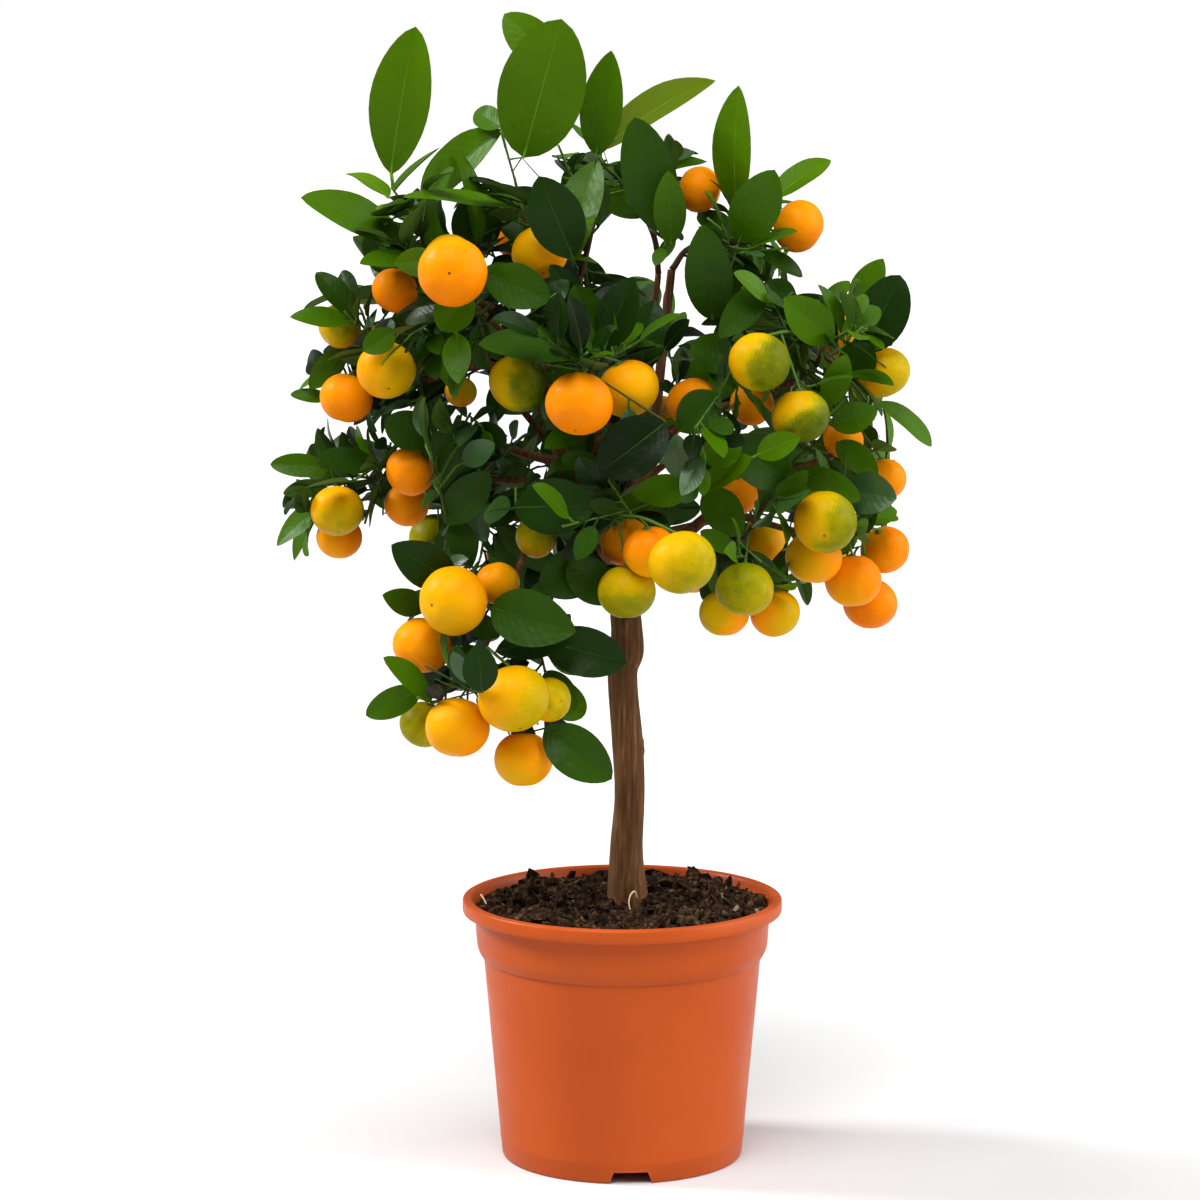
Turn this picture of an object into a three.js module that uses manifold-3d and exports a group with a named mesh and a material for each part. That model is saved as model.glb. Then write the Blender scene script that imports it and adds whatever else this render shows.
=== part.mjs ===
// A calamondin orange tree in its nursery pot: a single stem, a round crown of leafy twigs hung with
// small oranges, and a terracotta-coloured plastic pot of soil.
// Millimetres, +Z up. The pot stands on z = 0 with its axis on the Z axis, and the tree's best side faces -Y.
import * as THREE from 'three';
import { mergeVertices } from 'three/addons/utils/BufferGeometryUtils.js';
import Module from 'manifold-3d';

const wasm = await Module();
wasm.setup();

// ---------------------------------------------------------------- driving sizes

const GAP = 0.3; // clearance between two solids that meet
const JOIN = 0.4; // how far a cutting tool stands past the face it cuts
const MERGE = 0.05; // detail below this is merged after a cut or a join

// The pot: an injection-moulded 20 cm grower's pot.
const POT_HEIGHT = 164;
const POT_SIDES = 30;
const RIM_RADIUS = 100; // widest point of the rolled lip
const MOUTH_RADIUS = 93.4;
const LIP_BOTTOM = 155; // where the lip meets the collar
const COLLAR_RADIUS = 92.3;
const COLLAR_FOOT_RADIUS = 90.9;
const COLLAR_BOTTOM = 128;
const BODY_TOP = 124.5;
const BODY_TOP_RADIUS = 86.8;
const FOOT_RADIUS = 75.4;
const WALL = 1.9;
const FLOOR_THICK = 2.2;
const FOOT_RING_WIDTH = 6;
const DRAIN_RECESS = 6.5; // height of the ring-shaped recess under the pot
const CENTRE_PAD_RADIUS = 40; // the flat middle of the underside, which carries the base mount
const NOTCHES = 3;
const NOTCH_HEIGHT = 7.4;
const NOTCH_TOP_WIDTH = 20.9;
const NOTCH_BOTTOM_WIDTH = 27.4;
const NOTCH_TURN = 3.8; // degrees from the front to the first notch
const DRAIN_HOLES = 6;
const DRAIN_RADIUS = 5;
const DRAIN_CIRCLE = 55;

// The soil, and the ground level at which the trunk is cut flat.
const SOIL_EDGE = 157;
const SOIL_MIDDLE = 158;
const SOIL_FLAT_RADIUS = 18;
const SOIL_SLOPE_RADIUS = 50;
const SOIL_SIDES = 20;

// The trunk: height, x, y, diameter. It swells into a knob before the fork.
const TRUNK_SIDES = 12;
const TRUNK = [
  [158.3, 3.2, 0, 30],
  [164, 3.2, 0, 26],
  [174, 2.9, 0, 23.6],
  [195, 2.6, 0, 20.7],
  [228, 4.5, 0, 18.9],
  [261, 3.3, 0, 19.3],
  [293, 0.5, 0, 18.4],
  [308, 0.2, 0, 18.8],
  [319, 2.8, 0, 20.8],
  [333, 2.7, 0, 19.4],
  [346, 1.5, 0, 18],
  [353, 1, 0, 11],
];
const FORK = [1, 0, 343];

// The boughs: parent limb, height at which it leaves that limb (null: from the fork), the points it bends
// through, the last of them its tip, and its diameter at the start and at the tip.
const BOUGH_SIDES = 5;
const BOUGHS = [
  ['bough_leader', 'trunk', null, [[-12, -5, 388], [-30, -8, 430], [-43, -8, 461], [-52, -6, 552]], 14, 6],
  ['bough_right_leader', 'trunk', null, [[8, 6, 390], [17, 6, 440], [30, 2, 555]], 12, 5],
  ['bough_right', 'trunk', null, [[26, 3, 378], [66, 4, 412], [122, 0, 438]], 10, 4.5],
  ['bough_back', 'trunk', null, [[2, 22, 380], [0, 50, 420], [-8, 92, 462]], 10, 5],
  ['bough_left', 'bough_leader', 462, [[-62, -6, 484], [-84, -3, 497], [-120, -10, 489]], 8, 5],
  ['bough_top_left', 'bough_leader', 512, [[-72, -8, 528], [-112, -18, 548]], 6, 4],
  ['bough_upper_left', 'bough_leader', 492, [[-62, -26, 508], [-84, -50, 532]], 5.5, 3.8],
  ['bough_left_low', 'bough_leader', 436, [[-62, 4, 442], [-96, 6, 450], [-138, 0, 430]], 6.5, 4],
  ['bough_left_inner', 'bough_leader', 420, [[-46, -22, 426], [-80, -36, 430]], 5.5, 3.8],
  ['bough_front', 'bough_leader', 404, [[-20, -28, 428], [-14, -58, 460]], 6.5, 4],
  ['bough_front_low', 'bough_leader', 372, [[-12, -24, 380], [-22, -50, 392]], 6, 4],
  ['bough_hanging', 'bough_leader', 388, [[-34, -18, 400], [-52, -38, 400], [-68, -62, 366]], 6.5, 4],
  ['bough_top_centre', 'bough_right_leader', 500, [[20, 10, 528], [22, 12, 552]], 5, 3.8],
  ['bough_shoulder', 'bough_right_leader', 452, [[40, 0, 466], [72, -4, 474], [106, -14, 488]], 6.5, 4],
  ['bough_inner_right', 'bough_right_leader', 424, [[24, -18, 436], [40, -40, 448]], 5, 3.8],
  ['bough_right_low', 'bough_right', 404, [[74, -12, 404], [102, -28, 398]], 5.5, 3.8],
  ['bough_front_right', 'bough_right', 378, [[36, -22, 384], [50, -50, 392]], 5.5, 3.8],
  ['bough_back_top', 'bough_leader', 478, [[-38, 16, 500], [-26, 50, 548]], 6, 4],
  ['bough_back_left', 'bough_back', 398, [[-28, 44, 424], [-84, 76, 488]], 6.5, 4],
  ['bough_back_right', 'bough_back', 410, [[22, 50, 438], [64, 74, 486]], 6.5, 4],
  ['bough_back_low_left', 'bough_back', 378, [[-24, 38, 386], [-80, 66, 398]], 6, 4],
  ['bough_back_low_right', 'bough_back', 384, [[24, 40, 388], [64, 70, 394]], 6, 4],
];

// The masses of foliage. centre and reach: the rounded space that the seeded twigs fill. shoots: tips of the
// leading twigs. leaves: leading leaves, each its root, its tip and its width as seen from the front.
// fruits: centre, diameter. twigs: how many seeded twigs grow besides. size: usual length of a seeded leaf.
const MASSES = [
  {
    name: 'foliage_top_left', bough: 'bough_top_left', seed: 11, centre: [-122, -20, 582], reach: 50,
    shoots: [[-140, -23, 606]],
    leaves: [
      [-140, -25, 614, -124, -35, 702, 37],
      [-142, -20, 600, -170, 10, 615, 10],
      [-130, -25, 573, -192, -60, 601, 24],
      [-139, -20, 604, -112, 10, 629, 6],
      [-123, -40, 564, -156, -75, 563, 14],
      [-116, -20, 568, -117, -10, 600, 18],
      [-88, -25, 568, -100, -20, 630, 11],
    ],
    fruits: [[-138, -30, 544, 28]],
    twigs: 4, size: 42,
  },
  {
    name: 'foliage_top_centre_left', bough: 'bough_leader', seed: 12, centre: [-62, -8, 592], reach: 58,
    shoots: [[-66, -12, 612], [-74, -15, 640]],
    leaves: [
      [-60, -25, 624, -37, -45, 706, 52],
      [-73, -15, 640, -125, 20, 593, 27],
      [-74, -15, 642, -91, 15, 652, 16],
      [-34, 16, 672, -73, 30, 711, 27],
      [-62, -30, 594, -131, -50, 603, 11],
      [-30, -50, 565, -50, -60, 614, 33],
      [-94, 10, 564, -84, 0, 604, 31],
      [-57, 0, 570, -72, 20, 600, 25],
    ],
    fruits: [[-50, -52, 568, 33]],
    twigs: 5, size: 44,
  },
  {
    name: 'foliage_top_centre_right', bough: 'bough_top_centre', seed: 13, centre: [6, 4, 602], reach: 56,
    shoots: [[-14, -4, 622], [27, -22, 574]],
    leaves: [
      [-16, -5, 625, -7, -15, 688, 26],
      [-12, -5, 628, 56, 10, 672, 23],
      [-16, -15, 622, -31, -40, 562, 25],
      [24, -20, 579, 7, -30, 648, 33],
      [29, -30, 572, 27, -45, 616, 20],
      [-16, 15, 628, -34, 35, 645, 6],
      [17, 0, 589, -16, 15, 611, 28],
    ],
    fruits: [[47, 0, 604, 28]],
    twigs: 4, size: 42,
  },
  {
    name: 'foliage_top_right', bough: 'bough_right_leader', seed: 14, centre: [76, -2, 572], reach: 56,
    shoots: [[69, -12, 590]],
    leaves: [
      [69, -10, 592, 70, -15, 667, 23],
      [70, -25, 573, 91, -40, 617, 30],
      [93, 0, 599, 128, 20, 622, 16],
      [70, 10, 594, 59, 25, 623, 9],
      [54, -40, 527, 48, -55, 584, 29],
      [69, -15, 575, 46, 10, 590, 15],
      [76, -15, 569, 105, -25, 580, 7],
      [80, -10, 567, 110, -5, 551, 11],
    ],
    fruits: [[107, -10, 582, 32]],
    twigs: 4, size: 40,
  },
  {
    name: 'foliage_right_shoulder', bough: 'bough_shoulder', seed: 15, centre: [122, -38, 512], reach: 62,
    shoots: [[144, -5, 512]],
    leaves: [
      [142, 15, 531, 161, 20, 561, 19],
      [147, -21, 506, 168, -25, 553, 32],
      [135, -10, 513, 119, -15, 547, 9],
      [123, 20, 529, 141, 30, 547, 11],
      [125, -55, 515, 96, -70, 542, 25],
      [86, -20, 548, 106, -10, 537, 16],
      [85, -60, 549, 57, -80, 519, 20],
      [137, -40, 495, 162, -60, 490, 9],
      [122, -70, 478, 132, -85, 509, 17],
      [125, -60, 465, 152, -70, 475, 19],
      [135, -20, 492, 151, -30, 511, 24],
    ],
    fruits: [[80, -100, 506, 36], [105, -90, 473, 34], [160, -10, 493, 32]],
    twigs: 5, size: 40,
  },
  {
    name: 'foliage_right_side', bough: 'bough_right', seed: 16, centre: [146, 22, 446], reach: 62,
    shoots: [[152, 0, 468]],
    leaves: [
      [157, 0, 474, 191, 5, 446, 13],
      [130, -20, 452, 154, -35, 434, 17],
      [133, -50, 425, 164, -70, 422, 26],
      [148, 15, 458, 155, 20, 442, 16],
    ],
    fruits: [[136, 0, 451, 25], [161, 0, 426, 28]],
    twigs: 5, size: 42,
  },
  {
    name: 'foliage_right_low', bough: 'bough_right_low', seed: 17, centre: [132, -40, 404], reach: 58,
    shoots: [],
    leaves: [],
    fruits: [
      [162, -5, 383, 30], [120, -90, 410, 37], [115, -60, 385, 34], [140, -45, 369, 34], [153, -10, 350, 33],
    ],
    twigs: 4, size: 36,
  },
  {
    name: 'foliage_front_right_low', bough: 'bough_front_right', seed: 18, centre: [74, -72, 398], reach: 58,
    shoots: [[98, -68, 436]],
    leaves: [
      [100, -70, 433, 60, -90, 459, 31],
      [106, -60, 438, 142, -70, 421, 18],
    ],
    fruits: [[72, -100, 371, 34], [61, -65, 352, 30], [92, -60, 351, 30]],
    twigs: 4, size: 36,
  },
  {
    name: 'foliage_front_right_inner', bough: 'bough_inner_right',
    seed: 19, centre: [50, -72, 458], reach: 56,
    shoots: [[44, -88, 436]],
    leaves: [
      [57, -80, 485, 32, -85, 464, 26],
      [45, -95, 450, 70, -100, 455, 20],
      [33, -95, 437, 31, -110, 464, 17],
      [40, -85, 429, 5, -95, 428, 20],
      [46, -80, 428, 75, -95, 450, 15],
      [49, -70, 427, 71, -80, 401, 24],
      [67, -60, 504, 40, -75, 514, 24],
    ],
    fruits: [[41, -60, 479, 30], [79, -10, 474, 27], [71, 0, 416, 25]],
    twigs: 4, size: 38,
  },
  {
    name: 'foliage_front_centre', bough: 'bough_front', seed: 20, centre: [-24, -84, 498], reach: 66,
    shoots: [[-12, -90, 510]],
    leaves: [
      [-14, -100, 512, -85, -110, 518, 22],
      [-81, -80, 556, -43, -95, 542, 27],
      [-14, -60, 510, -29, -70, 550, 24],
      [10, -50, 497, 19, -40, 539, 26],
      [25, -90, 471, -14, -100, 442, 35],
    ],
    fruits: [[-63, -70, 491, 35], [-26, -120, 483, 39], [3, -85, 489, 36]],
    twigs: 6, size: 42,
  },
  {
    name: 'foliage_upper_left', bough: 'bough_upper_left', seed: 21, centre: [-98, -60, 534], reach: 56,
    shoots: [],
    leaves: [
      [-109, -60, 563, -135, -80, 564, 18],
      [-91, -85, 547, -108, -95, 524, 24],
    ],
    fruits: [[-100, -110, 559, 40], [-104, -58, 564, 30]],
    twigs: 5, size: 42,
  },
  {
    name: 'foliage_left_side', bough: 'bough_left', seed: 22, centre: [-150, -14, 498], reach: 62,
    shoots: [[-160, -2, 530]],
    leaves: [
      [-161, -10, 526, -187, 0, 554, 15],
      [-165, -10, 525, -201, -20, 529, 13],
      [-170, -5, 506, -192, -10, 483, 16],
      [-180, -5, 476, -204, -5, 479, 9],
      [-137, -50, 521, -154, -65, 511, 16],
      [-116, -50, 455, -143, -60, 468, 24],
    ],
    fruits: [[-173, -10, 521, 27], [-142, -60, 498, 35], [-168, -30, 479, 32]],
    twigs: 5, size: 40,
  },
  {
    name: 'foliage_left_low', bough: 'bough_left_low', seed: 23, centre: [-164, 0, 424], reach: 60,
    shoots: [[-178, -8, 424]],
    leaves: [
      [-180, -10, 434, -216, -15, 437, 15],
      [-180, -10, 414, -213, -15, 387, 14],
      [-187, 5, 410, -204, 5, 375, 10],
      [-151, -20, 437, -186, -30, 444, 16],
    ],
    fruits: [[-174, -30, 410, 32], [-175, 0, 390, 28]],
    twigs: 5, size: 38,
  },
  {
    name: 'foliage_left_inner', bough: 'bough_left_inner', seed: 24, centre: [-104, -46, 446], reach: 56,
    shoots: [],
    leaves: [
      [-92, -50, 419, -113, -60, 462, 24],
      [-108, -40, 405, -80, -50, 437, 24],
    ],
    fruits: [[-129, -40, 435, 30], [-133, -10, 411, 27]],
    twigs: 5, size: 40,
  },
  {
    name: 'foliage_centre_low', bough: 'bough_front_low', seed: 25, centre: [-20, -72, 410], reach: 60,
    shoots: [],
    leaves: [
      [-65, -95, 419, -16, -110, 422, 34],
      [-14, -70, 385, -50, -85, 369, 30],
      [-5, -70, 360, -32, -80, 386, 26],
    ],
    fruits: [
      [34, -140, 392, 39], [16, -105, 394, 32], [1, -62, 395, 30], [2, -96, 369, 34], [-53, -50, 396, 25],
    ],
    twigs: 5, size: 42,
  },
  {
    name: 'foliage_hanging_left', bough: 'bough_hanging', seed: 26, centre: [-86, -78, 326], reach: 74,
    shoots: [[-94, -72, 304], [-60, -66, 298]],
    leaves: [
      [-101, -90, 372, -138, -100, 396, 27],
      [-123, -80, 355, -144, -85, 364, 17],
      [-79, -95, 359, -28, -110, 347, 34],
      [-38, -80, 329, -1, -85, 321, 30],
      [-83, -110, 315, -85, -115, 345, 21],
      [-122, -70, 306, -155, -75, 291, 18],
      [-115, -80, 301, -142, -90, 330, 13],
      [-47, -80, 286, -7, -90, 257, 30],
      [-47, -70, 317, -29, -75, 294, 18],
      [-102, -45, 406, -93, -50, 382, 18],
    ],
    fruits: [
      [-101, -100, 364, 41], [-76, -65, 370, 27], [-121, -70, 333, 35], [-65, -110, 307, 42],
      [-99, -95, 287, 38], [-121, -60, 283, 29], [-60, -85, 266, 35], [-44, -96, 304, 26],
    ],
    twigs: 3, size: 38,
  },
  {
    name: 'foliage_back_top', bough: 'bough_back_top', seed: 34, centre: [-18, 74, 580], reach: 76,
    shoots: [[-40, 60, 630], [18, 66, 620]], leaves: [], fruits: [[-66, 104, 572, 33]],
    twigs: 7, size: 50,
  },
  {
    name: 'foliage_back_left', bough: 'bough_back_left', seed: 28, centre: [-112, 84, 500], reach: 78,
    shoots: [], leaves: [], fruits: [[-101, 40, 477, 20], [-150, 98, 500, 35], [-100, 130, 532, 34]],
    twigs: 7, size: 50,
  },
  {
    name: 'foliage_back_right', bough: 'bough_back_right', seed: 29, centre: [98, 84, 504], reach: 76,
    shoots: [], leaves: [], fruits: [[140, 70, 510, 34], [92, 132, 520, 36]],
    twigs: 7, size: 50,
  },
  {
    name: 'foliage_back_centre', bough: 'bough_back', seed: 30, centre: [-8, 130, 476], reach: 76,
    shoots: [], leaves: [], fruits: [[-20, 160, 486, 36], [24, 146, 450, 34]],
    twigs: 7, size: 50,
  },
  {
    name: 'foliage_back_low_left', bough: 'bough_back_low_left', seed: 31, centre: [-104, 86, 404], reach: 74,
    shoots: [], leaves: [], fruits: [[-120, 106, 376, 35], [-70, 116, 362, 36]],
    twigs: 6, size: 46,
  },
  {
    name: 'foliage_back_low_right', bough: 'bough_back_low_right', seed: 32, centre: [84, 92, 400], reach: 74,
    shoots: [], leaves: [], fruits: [[90, 122, 370, 36], [130, 84, 372, 33], [46, 104, 358, 34]],
    twigs: 6, size: 46,
  },
];

// The crown as seen from the front, on the plane y = 0: the outline that the seeded leaves keep to, clockwise
// from the top left, and the places where the sky shows through it: x, z, half width, half height.
const CROWN_OUTLINE = [
  [-152, 594], [-128, 608], [-100, 622], [-62, 628], [-30, 634], [28, 640], [48, 626], [62, 610], [100, 606],
  [118, 588], [104, 566], [98, 552], [118, 540], [134, 548], [164, 552], [168, 520], [172, 486], [170, 450],
  [174, 420], [170, 392], [172, 366], [160, 346], [124, 342], [104, 333], [52, 335], [46, 352], [18, 348],
  [8, 340], [-24, 338], [-10, 316], [-22, 290], [-18, 262], [-56, 244], [-112, 262], [-152, 286], [-140, 340],
  [-146, 380], [-112, 398], [-112, 408], [-150, 398], [-190, 368], [-210, 396], [-214, 442], [-196, 452],
  [-200, 486], [-190, 512], [-200, 530], [-182, 556], [-158, 560], [-192, 596],
];
const SKY = [
  [0, 572, 19, 16],
  [38, 553, 8, 20],
  [48, 530, 7, 8],
  [-89, 482, 8, 8],
  [25, 494, 5, 7],
];
const FRONT_EYE = [-14, -2363, 670]; // where someone stands who looks at the best side
const SHOWN_DEPTH = 30; // fruit nearer than this shows from the front

// The crown's depth and height, which the seeded leaves keep within.
const CROWN_CENTRE = [-14, 0, 470];
const CROWN_REACH = [230, 184, 240];

// How twigs, leaves and fruit are made.
const STEM_THICK = 4.2;
const SHOOT_THICK = 3;
const TWIG_THICK = 2.6;
const TWIG_TIP = 1.7;
const STALK_THICK = 2.2;
const BRANCH_SHARE = 0.45; // a twig starts thinner than its parent, inside it
const TWIG_STEP = 45;
const NODE_STEP = 8;
const NODES_TRIED = 24;
const BALL_STEP = 4;
const PETIOLE = 6; // from a twig to the foot of the blade
const PETIOLE_REACH = 17; // the longest leaf stalk, beyond which a twig grows to the leaf
const PETIOLE_RISE = 4; // how far a leaf stalk may start above the leaf's face
const SINK = 3; // how deep a leaf's root sits in the end of a twig
const DEPTH_SHIFTS = [0, -6, 6, -12, 12, -18, 18, -26, 26];
const LEAF_SPACING = 10.5;
const LEAF_ATTEMPTS = 8;
const LEAF_THICK = 1.2;
const LARGE_LEAF = 52; // a longer leaf lies flat, and has a finer outline if it is a leading one
const LEAF_ANGLE = 0.95; // radians between a twig and its leaf
const GOLDEN_ANGLE = 2.39996;
const LEAF_ARCH = 0.035; // height of a leaf's edges over the line from its root to its tip, as a share of it
const FACE_UP = 0.5; // how much a seeded leaf faces up, and how much out of the crown
const FACE_OUT = 0.85;
const CLEAR = 0.9; // least distance between a leaf and what it doesn't grow from
const BLADES_APART = 2; // the same between leaves of two masses
const SPACE_EDGE = 0.9; // least distance from a leaf to the next mass's space
const TWIG_EDGE = 4; // the same for the tip of a twig
const FRUIT_SIDES = 6;
const FRUIT_RINGS = 4;
const FRUIT_SPREAD = 1.04; // corners stand a little outside the round fruit, and faces a little inside

const COLOURS = {
  pot: 0xc9582c,
  soil: 0x2b1f18,
  bark: 0x6b4c37,
  leaf: [0x2f6416, 0x3c7a16, 0x255418],
};

// ---------------------------------------------------------------- vectors

const plus = (a, b) => [a[0] + b[0], a[1] + b[1], a[2] + b[2]];
const minus = (a, b) => [a[0] - b[0], a[1] - b[1], a[2] - b[2]];
const times = (a, k) => [a[0] * k, a[1] * k, a[2] * k];
const dot = (a, b) => a[0] * b[0] + a[1] * b[1] + a[2] * b[2];
const cross = (a, b) => [a[1] * b[2] - a[2] * b[1], a[2] * b[0] - a[0] * b[2], a[0] * b[1] - a[1] * b[0]];
const size = (a) => Math.sqrt(dot(a, a));
const unit = (a) => times(a, 1 / size(a));
const apart = (a, b) => size(minus(a, b));
const between = (a, b, t) => plus(a, times(minus(b, a), t));
const squareTo = (a, axis) => unit(minus(a, times(axis, dot(a, axis))));

function seededRandom(start) {
  let seed = start;
  return () => {
    seed = (seed * 1664525 + 1013904223) % 4294967296;
    return seed / 4294967296;
  };
}

// A point on the smooth curve through some points, with t from 0 to 1.
function curvePoint(points, t) {
  const last = points.length - 1;
  const place = Math.min(t * last, last - 1e-9);
  const i = Math.floor(place);
  const u = place - i;
  const b = points[i];
  const c = points[i + 1];
  const a = i > 0 ? points[i - 1] : minus(times(b, 2), c);
  const d = i + 2 <= last ? points[i + 2] : minus(times(c, 2), b);
  return [0, 1, 2].map((k) => 0.5 * (2 * b[k] + (c[k] - a[k]) * u
    + (2 * a[k] - 5 * b[k] + 4 * c[k] - d[k]) * u * u
    + (3 * b[k] - a[k] - 3 * c[k] + d[k]) * u * u * u));
}

// ---------------------------------------------------------------- solids

function solid(geometry) {
  const bare = geometry.clone();
  bare.deleteAttribute('normal');
  bare.deleteAttribute('uv');
  const merged = mergeVertices(bare, 1e-4);
  return new wasm.Manifold(new wasm.Mesh({
    numProp: 3,
    vertProperties: merged.attributes.position.array,
    triVerts: Uint32Array.from(merged.index.array),
  }));
}

function geometryOf(body) {
  const mesh = body.getMesh();
  const geometry = new THREE.BufferGeometry();
  geometry.setAttribute('position', new THREE.BufferAttribute(new Float32Array(mesh.vertProperties), 3));
  geometry.setIndex(new THREE.BufferAttribute(new Uint32Array(mesh.triVerts), 1));
  geometry.computeVertexNormals();
  return geometry;
}

function facets(points, faces) {
  const geometry = new THREE.BufferGeometry();
  geometry.setAttribute('position', new THREE.BufferAttribute(new Float32Array(points.flat()), 3));
  geometry.setIndex(faces.flat());
  return geometry;
}

// A tapered tube along some points, with flat ends.
function tube(points, radii, sides) {
  const rings = [];
  const vertices = [];
  let across = null;
  points.forEach((point, i) => {
    const ahead = points[Math.min(i + 1, points.length - 1)];
    const behind = points[Math.max(i - 1, 0)];
    const along = unit(minus(ahead, behind));
    const guess = across ?? (Math.abs(along[0]) < 0.8 ? [1, 0, 0] : [0, 1, 0]);
    across = squareTo(guess, along);
    const up = cross(along, across);
    const ring = [];
    for (let s = 0; s < sides; s += 1) {
      const angle = (2 * Math.PI * s) / sides;
      const out = plus(times(across, Math.cos(angle)), times(up, Math.sin(angle)));
      ring.push(vertices.length);
      vertices.push(plus(point, times(out, radii[i])));
    }
    rings.push(ring);
  });
  const faces = [];
  for (let i = 0; i + 1 < rings.length; i += 1) {
    const [low, high] = [rings[i], rings[i + 1]];
    for (let s = 0; s < sides; s += 1) {
      const n = (s + 1) % sides;
      faces.push([low[s], low[n], high[n]], [low[s], high[n], high[s]]);
    }
  }
  const end = rings[rings.length - 1];
  for (let s = 1; s + 1 < sides; s += 1) {
    faces.push([rings[0][0], rings[0][s + 1], rings[0][s]], [end[0], end[s], end[s + 1]]);
  }
  return facets(vertices, faces);
}

// The largest piece of a body, without the shells of hollows that fusing has sealed.
function largestPiece(body) {
  const pieces = body.decompose();
  return pieces.reduce((best, piece) => (piece.volume() > best.volume() ? piece : best));
}

// ---------------------------------------------------------------- pot and soil

function lathe(outline, sides) {
  const points = outline.map(([r, z]) => new THREE.Vector2(r, z));
  const geometry = new THREE.LatheGeometry(points, sides);
  geometry.rotateX(Math.PI / 2);
  return geometry;
}

function potOutline() {
  const bodyRadius = (z) => FOOT_RADIUS + ((BODY_TOP_RADIUS - FOOT_RADIUS) * z) / BODY_TOP;
  const floorTop = DRAIN_RECESS + FLOOR_THICK;
  return [
    [0, 0],
    [CENTRE_PAD_RADIUS, 0],
    [CENTRE_PAD_RADIUS + 2, DRAIN_RECESS],
    [FOOT_RADIUS - FOOT_RING_WIDTH, DRAIN_RECESS],
    [FOOT_RADIUS - FOOT_RING_WIDTH + 1, 0],
    [FOOT_RADIUS, 0],
    [BODY_TOP_RADIUS, BODY_TOP],
    [COLLAR_FOOT_RADIUS, COLLAR_BOTTOM],
    [COLLAR_RADIUS, LIP_BOTTOM],
    [RIM_RADIUS - 1, LIP_BOTTOM + 0.3],
    [RIM_RADIUS, LIP_BOTTOM + 2],
    [RIM_RADIUS, POT_HEIGHT - 2],
    [RIM_RADIUS - 2.5, POT_HEIGHT],
    [MOUTH_RADIUS, POT_HEIGHT - 1.5],
    [COLLAR_RADIUS - WALL, LIP_BOTTOM],
    [BODY_TOP_RADIUS - WALL, BODY_TOP],
    [bodyRadius(floorTop) - WALL, floorTop],
    [0, floorTop],
  ];
}

function around(count, turnDegrees, make) {
  const start = THREE.MathUtils.degToRad(turnDegrees - 90);
  return Array.from({ length: count }, (_, i) => make(start + (2 * Math.PI * i) / count));
}

function footNotch(angle) {
  const half = [NOTCH_BOTTOM_WIDTH / 2, NOTCH_TOP_WIDTH / 2];
  const shape = new THREE.Shape();
  shape.moveTo(-half[0], -1);
  shape.lineTo(half[0], -1);
  shape.lineTo(half[1], NOTCH_HEIGHT);
  shape.lineTo(-half[1], NOTCH_HEIGHT);
  const depth = FOOT_RING_WIDTH + 8;
  const cutter = new THREE.ExtrudeGeometry(shape, { depth, bevelEnabled: false });
  cutter.rotateX(Math.PI / 2);
  cutter.translate(0, depth, 0);
  cutter.rotateZ(angle - Math.PI / 2);
  const start = FOOT_RADIUS - FOOT_RING_WIDTH - 2;
  cutter.translate(start * Math.cos(angle), start * Math.sin(angle), 0);
  return solid(cutter);
}

function drainHole(angle) {
  const cutter = new THREE.CylinderGeometry(DRAIN_RADIUS, DRAIN_RADIUS, FLOOR_THICK + 4, 8);
  cutter.rotateX(Math.PI / 2);
  const floorMiddle = DRAIN_RECESS + FLOOR_THICK / 2;
  cutter.translate(DRAIN_CIRCLE * Math.cos(angle), DRAIN_CIRCLE * Math.sin(angle), floorMiddle);
  return solid(cutter);
}

function makePot() {
  const cuts = [
    ...around(NOTCHES, NOTCH_TURN, footNotch),
    ...around(DRAIN_HOLES, 0, drainHole),
  ];
  return solid(lathe(potOutline(), POT_SIDES)).subtract(wasm.Manifold.union(cuts));
}

// The soil fills the pot and rises in low lumps towards a flat place under the trunk.
function makeSoil() {
  const bottom = DRAIN_RECESS + FLOOR_THICK + GAP;
  const wallAt = (z) => {
    const body = FOOT_RADIUS + ((BODY_TOP_RADIUS - FOOT_RADIUS) * z) / BODY_TOP;
    return body - WALL - GAP - JOIN;
  };
  const outline = [
    [0, bottom],
    [wallAt(bottom), bottom],
    [wallAt(BODY_TOP), BODY_TOP],
    [COLLAR_RADIUS - WALL - GAP - JOIN, LIP_BOTTOM],
    [COLLAR_RADIUS - WALL - GAP - JOIN, SOIL_EDGE],
    [SOIL_SLOPE_RADIUS, SOIL_MIDDLE - 1.4],
    [SOIL_FLAT_RADIUS, SOIL_MIDDLE],
    [0, SOIL_MIDDLE],
  ];
  return solid(lathe(outline, SOIL_SIDES));
}

// ---------------------------------------------------------------- trunk and boughs

function trunkLimb() {
  const points = TRUNK.map(([z, x, y]) => [x, y, z]);
  return { name: 'trunk', points, radii: TRUNK.map((station) => station[3] / 2) };
}

function pointAtHeight(limb, height) {
  const i = limb.points.findIndex((point) => point[2] >= height);
  const low = limb.points[i - 1];
  const high = limb.points[i];
  return between(low, high, (height - low[2]) / (high[2] - low[2]));
}

function boughLimb([name, parent, height, through, startThick, tipThick], limbs) {
  const start = height === null ? FORK : pointAtHeight(limbs.find((limb) => limb.name === parent), height);
  const bends = [start, ...through];
  const steps = through.length + 1;
  const points = [];
  const radii = [];
  for (let i = 0; i <= steps; i += 1) {
    points.push(curvePoint(bends, i / steps));
    radii.push((startThick + ((tipThick - startThick) * i) / steps) / 2);
  }
  return { name, points, radii };
}

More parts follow.
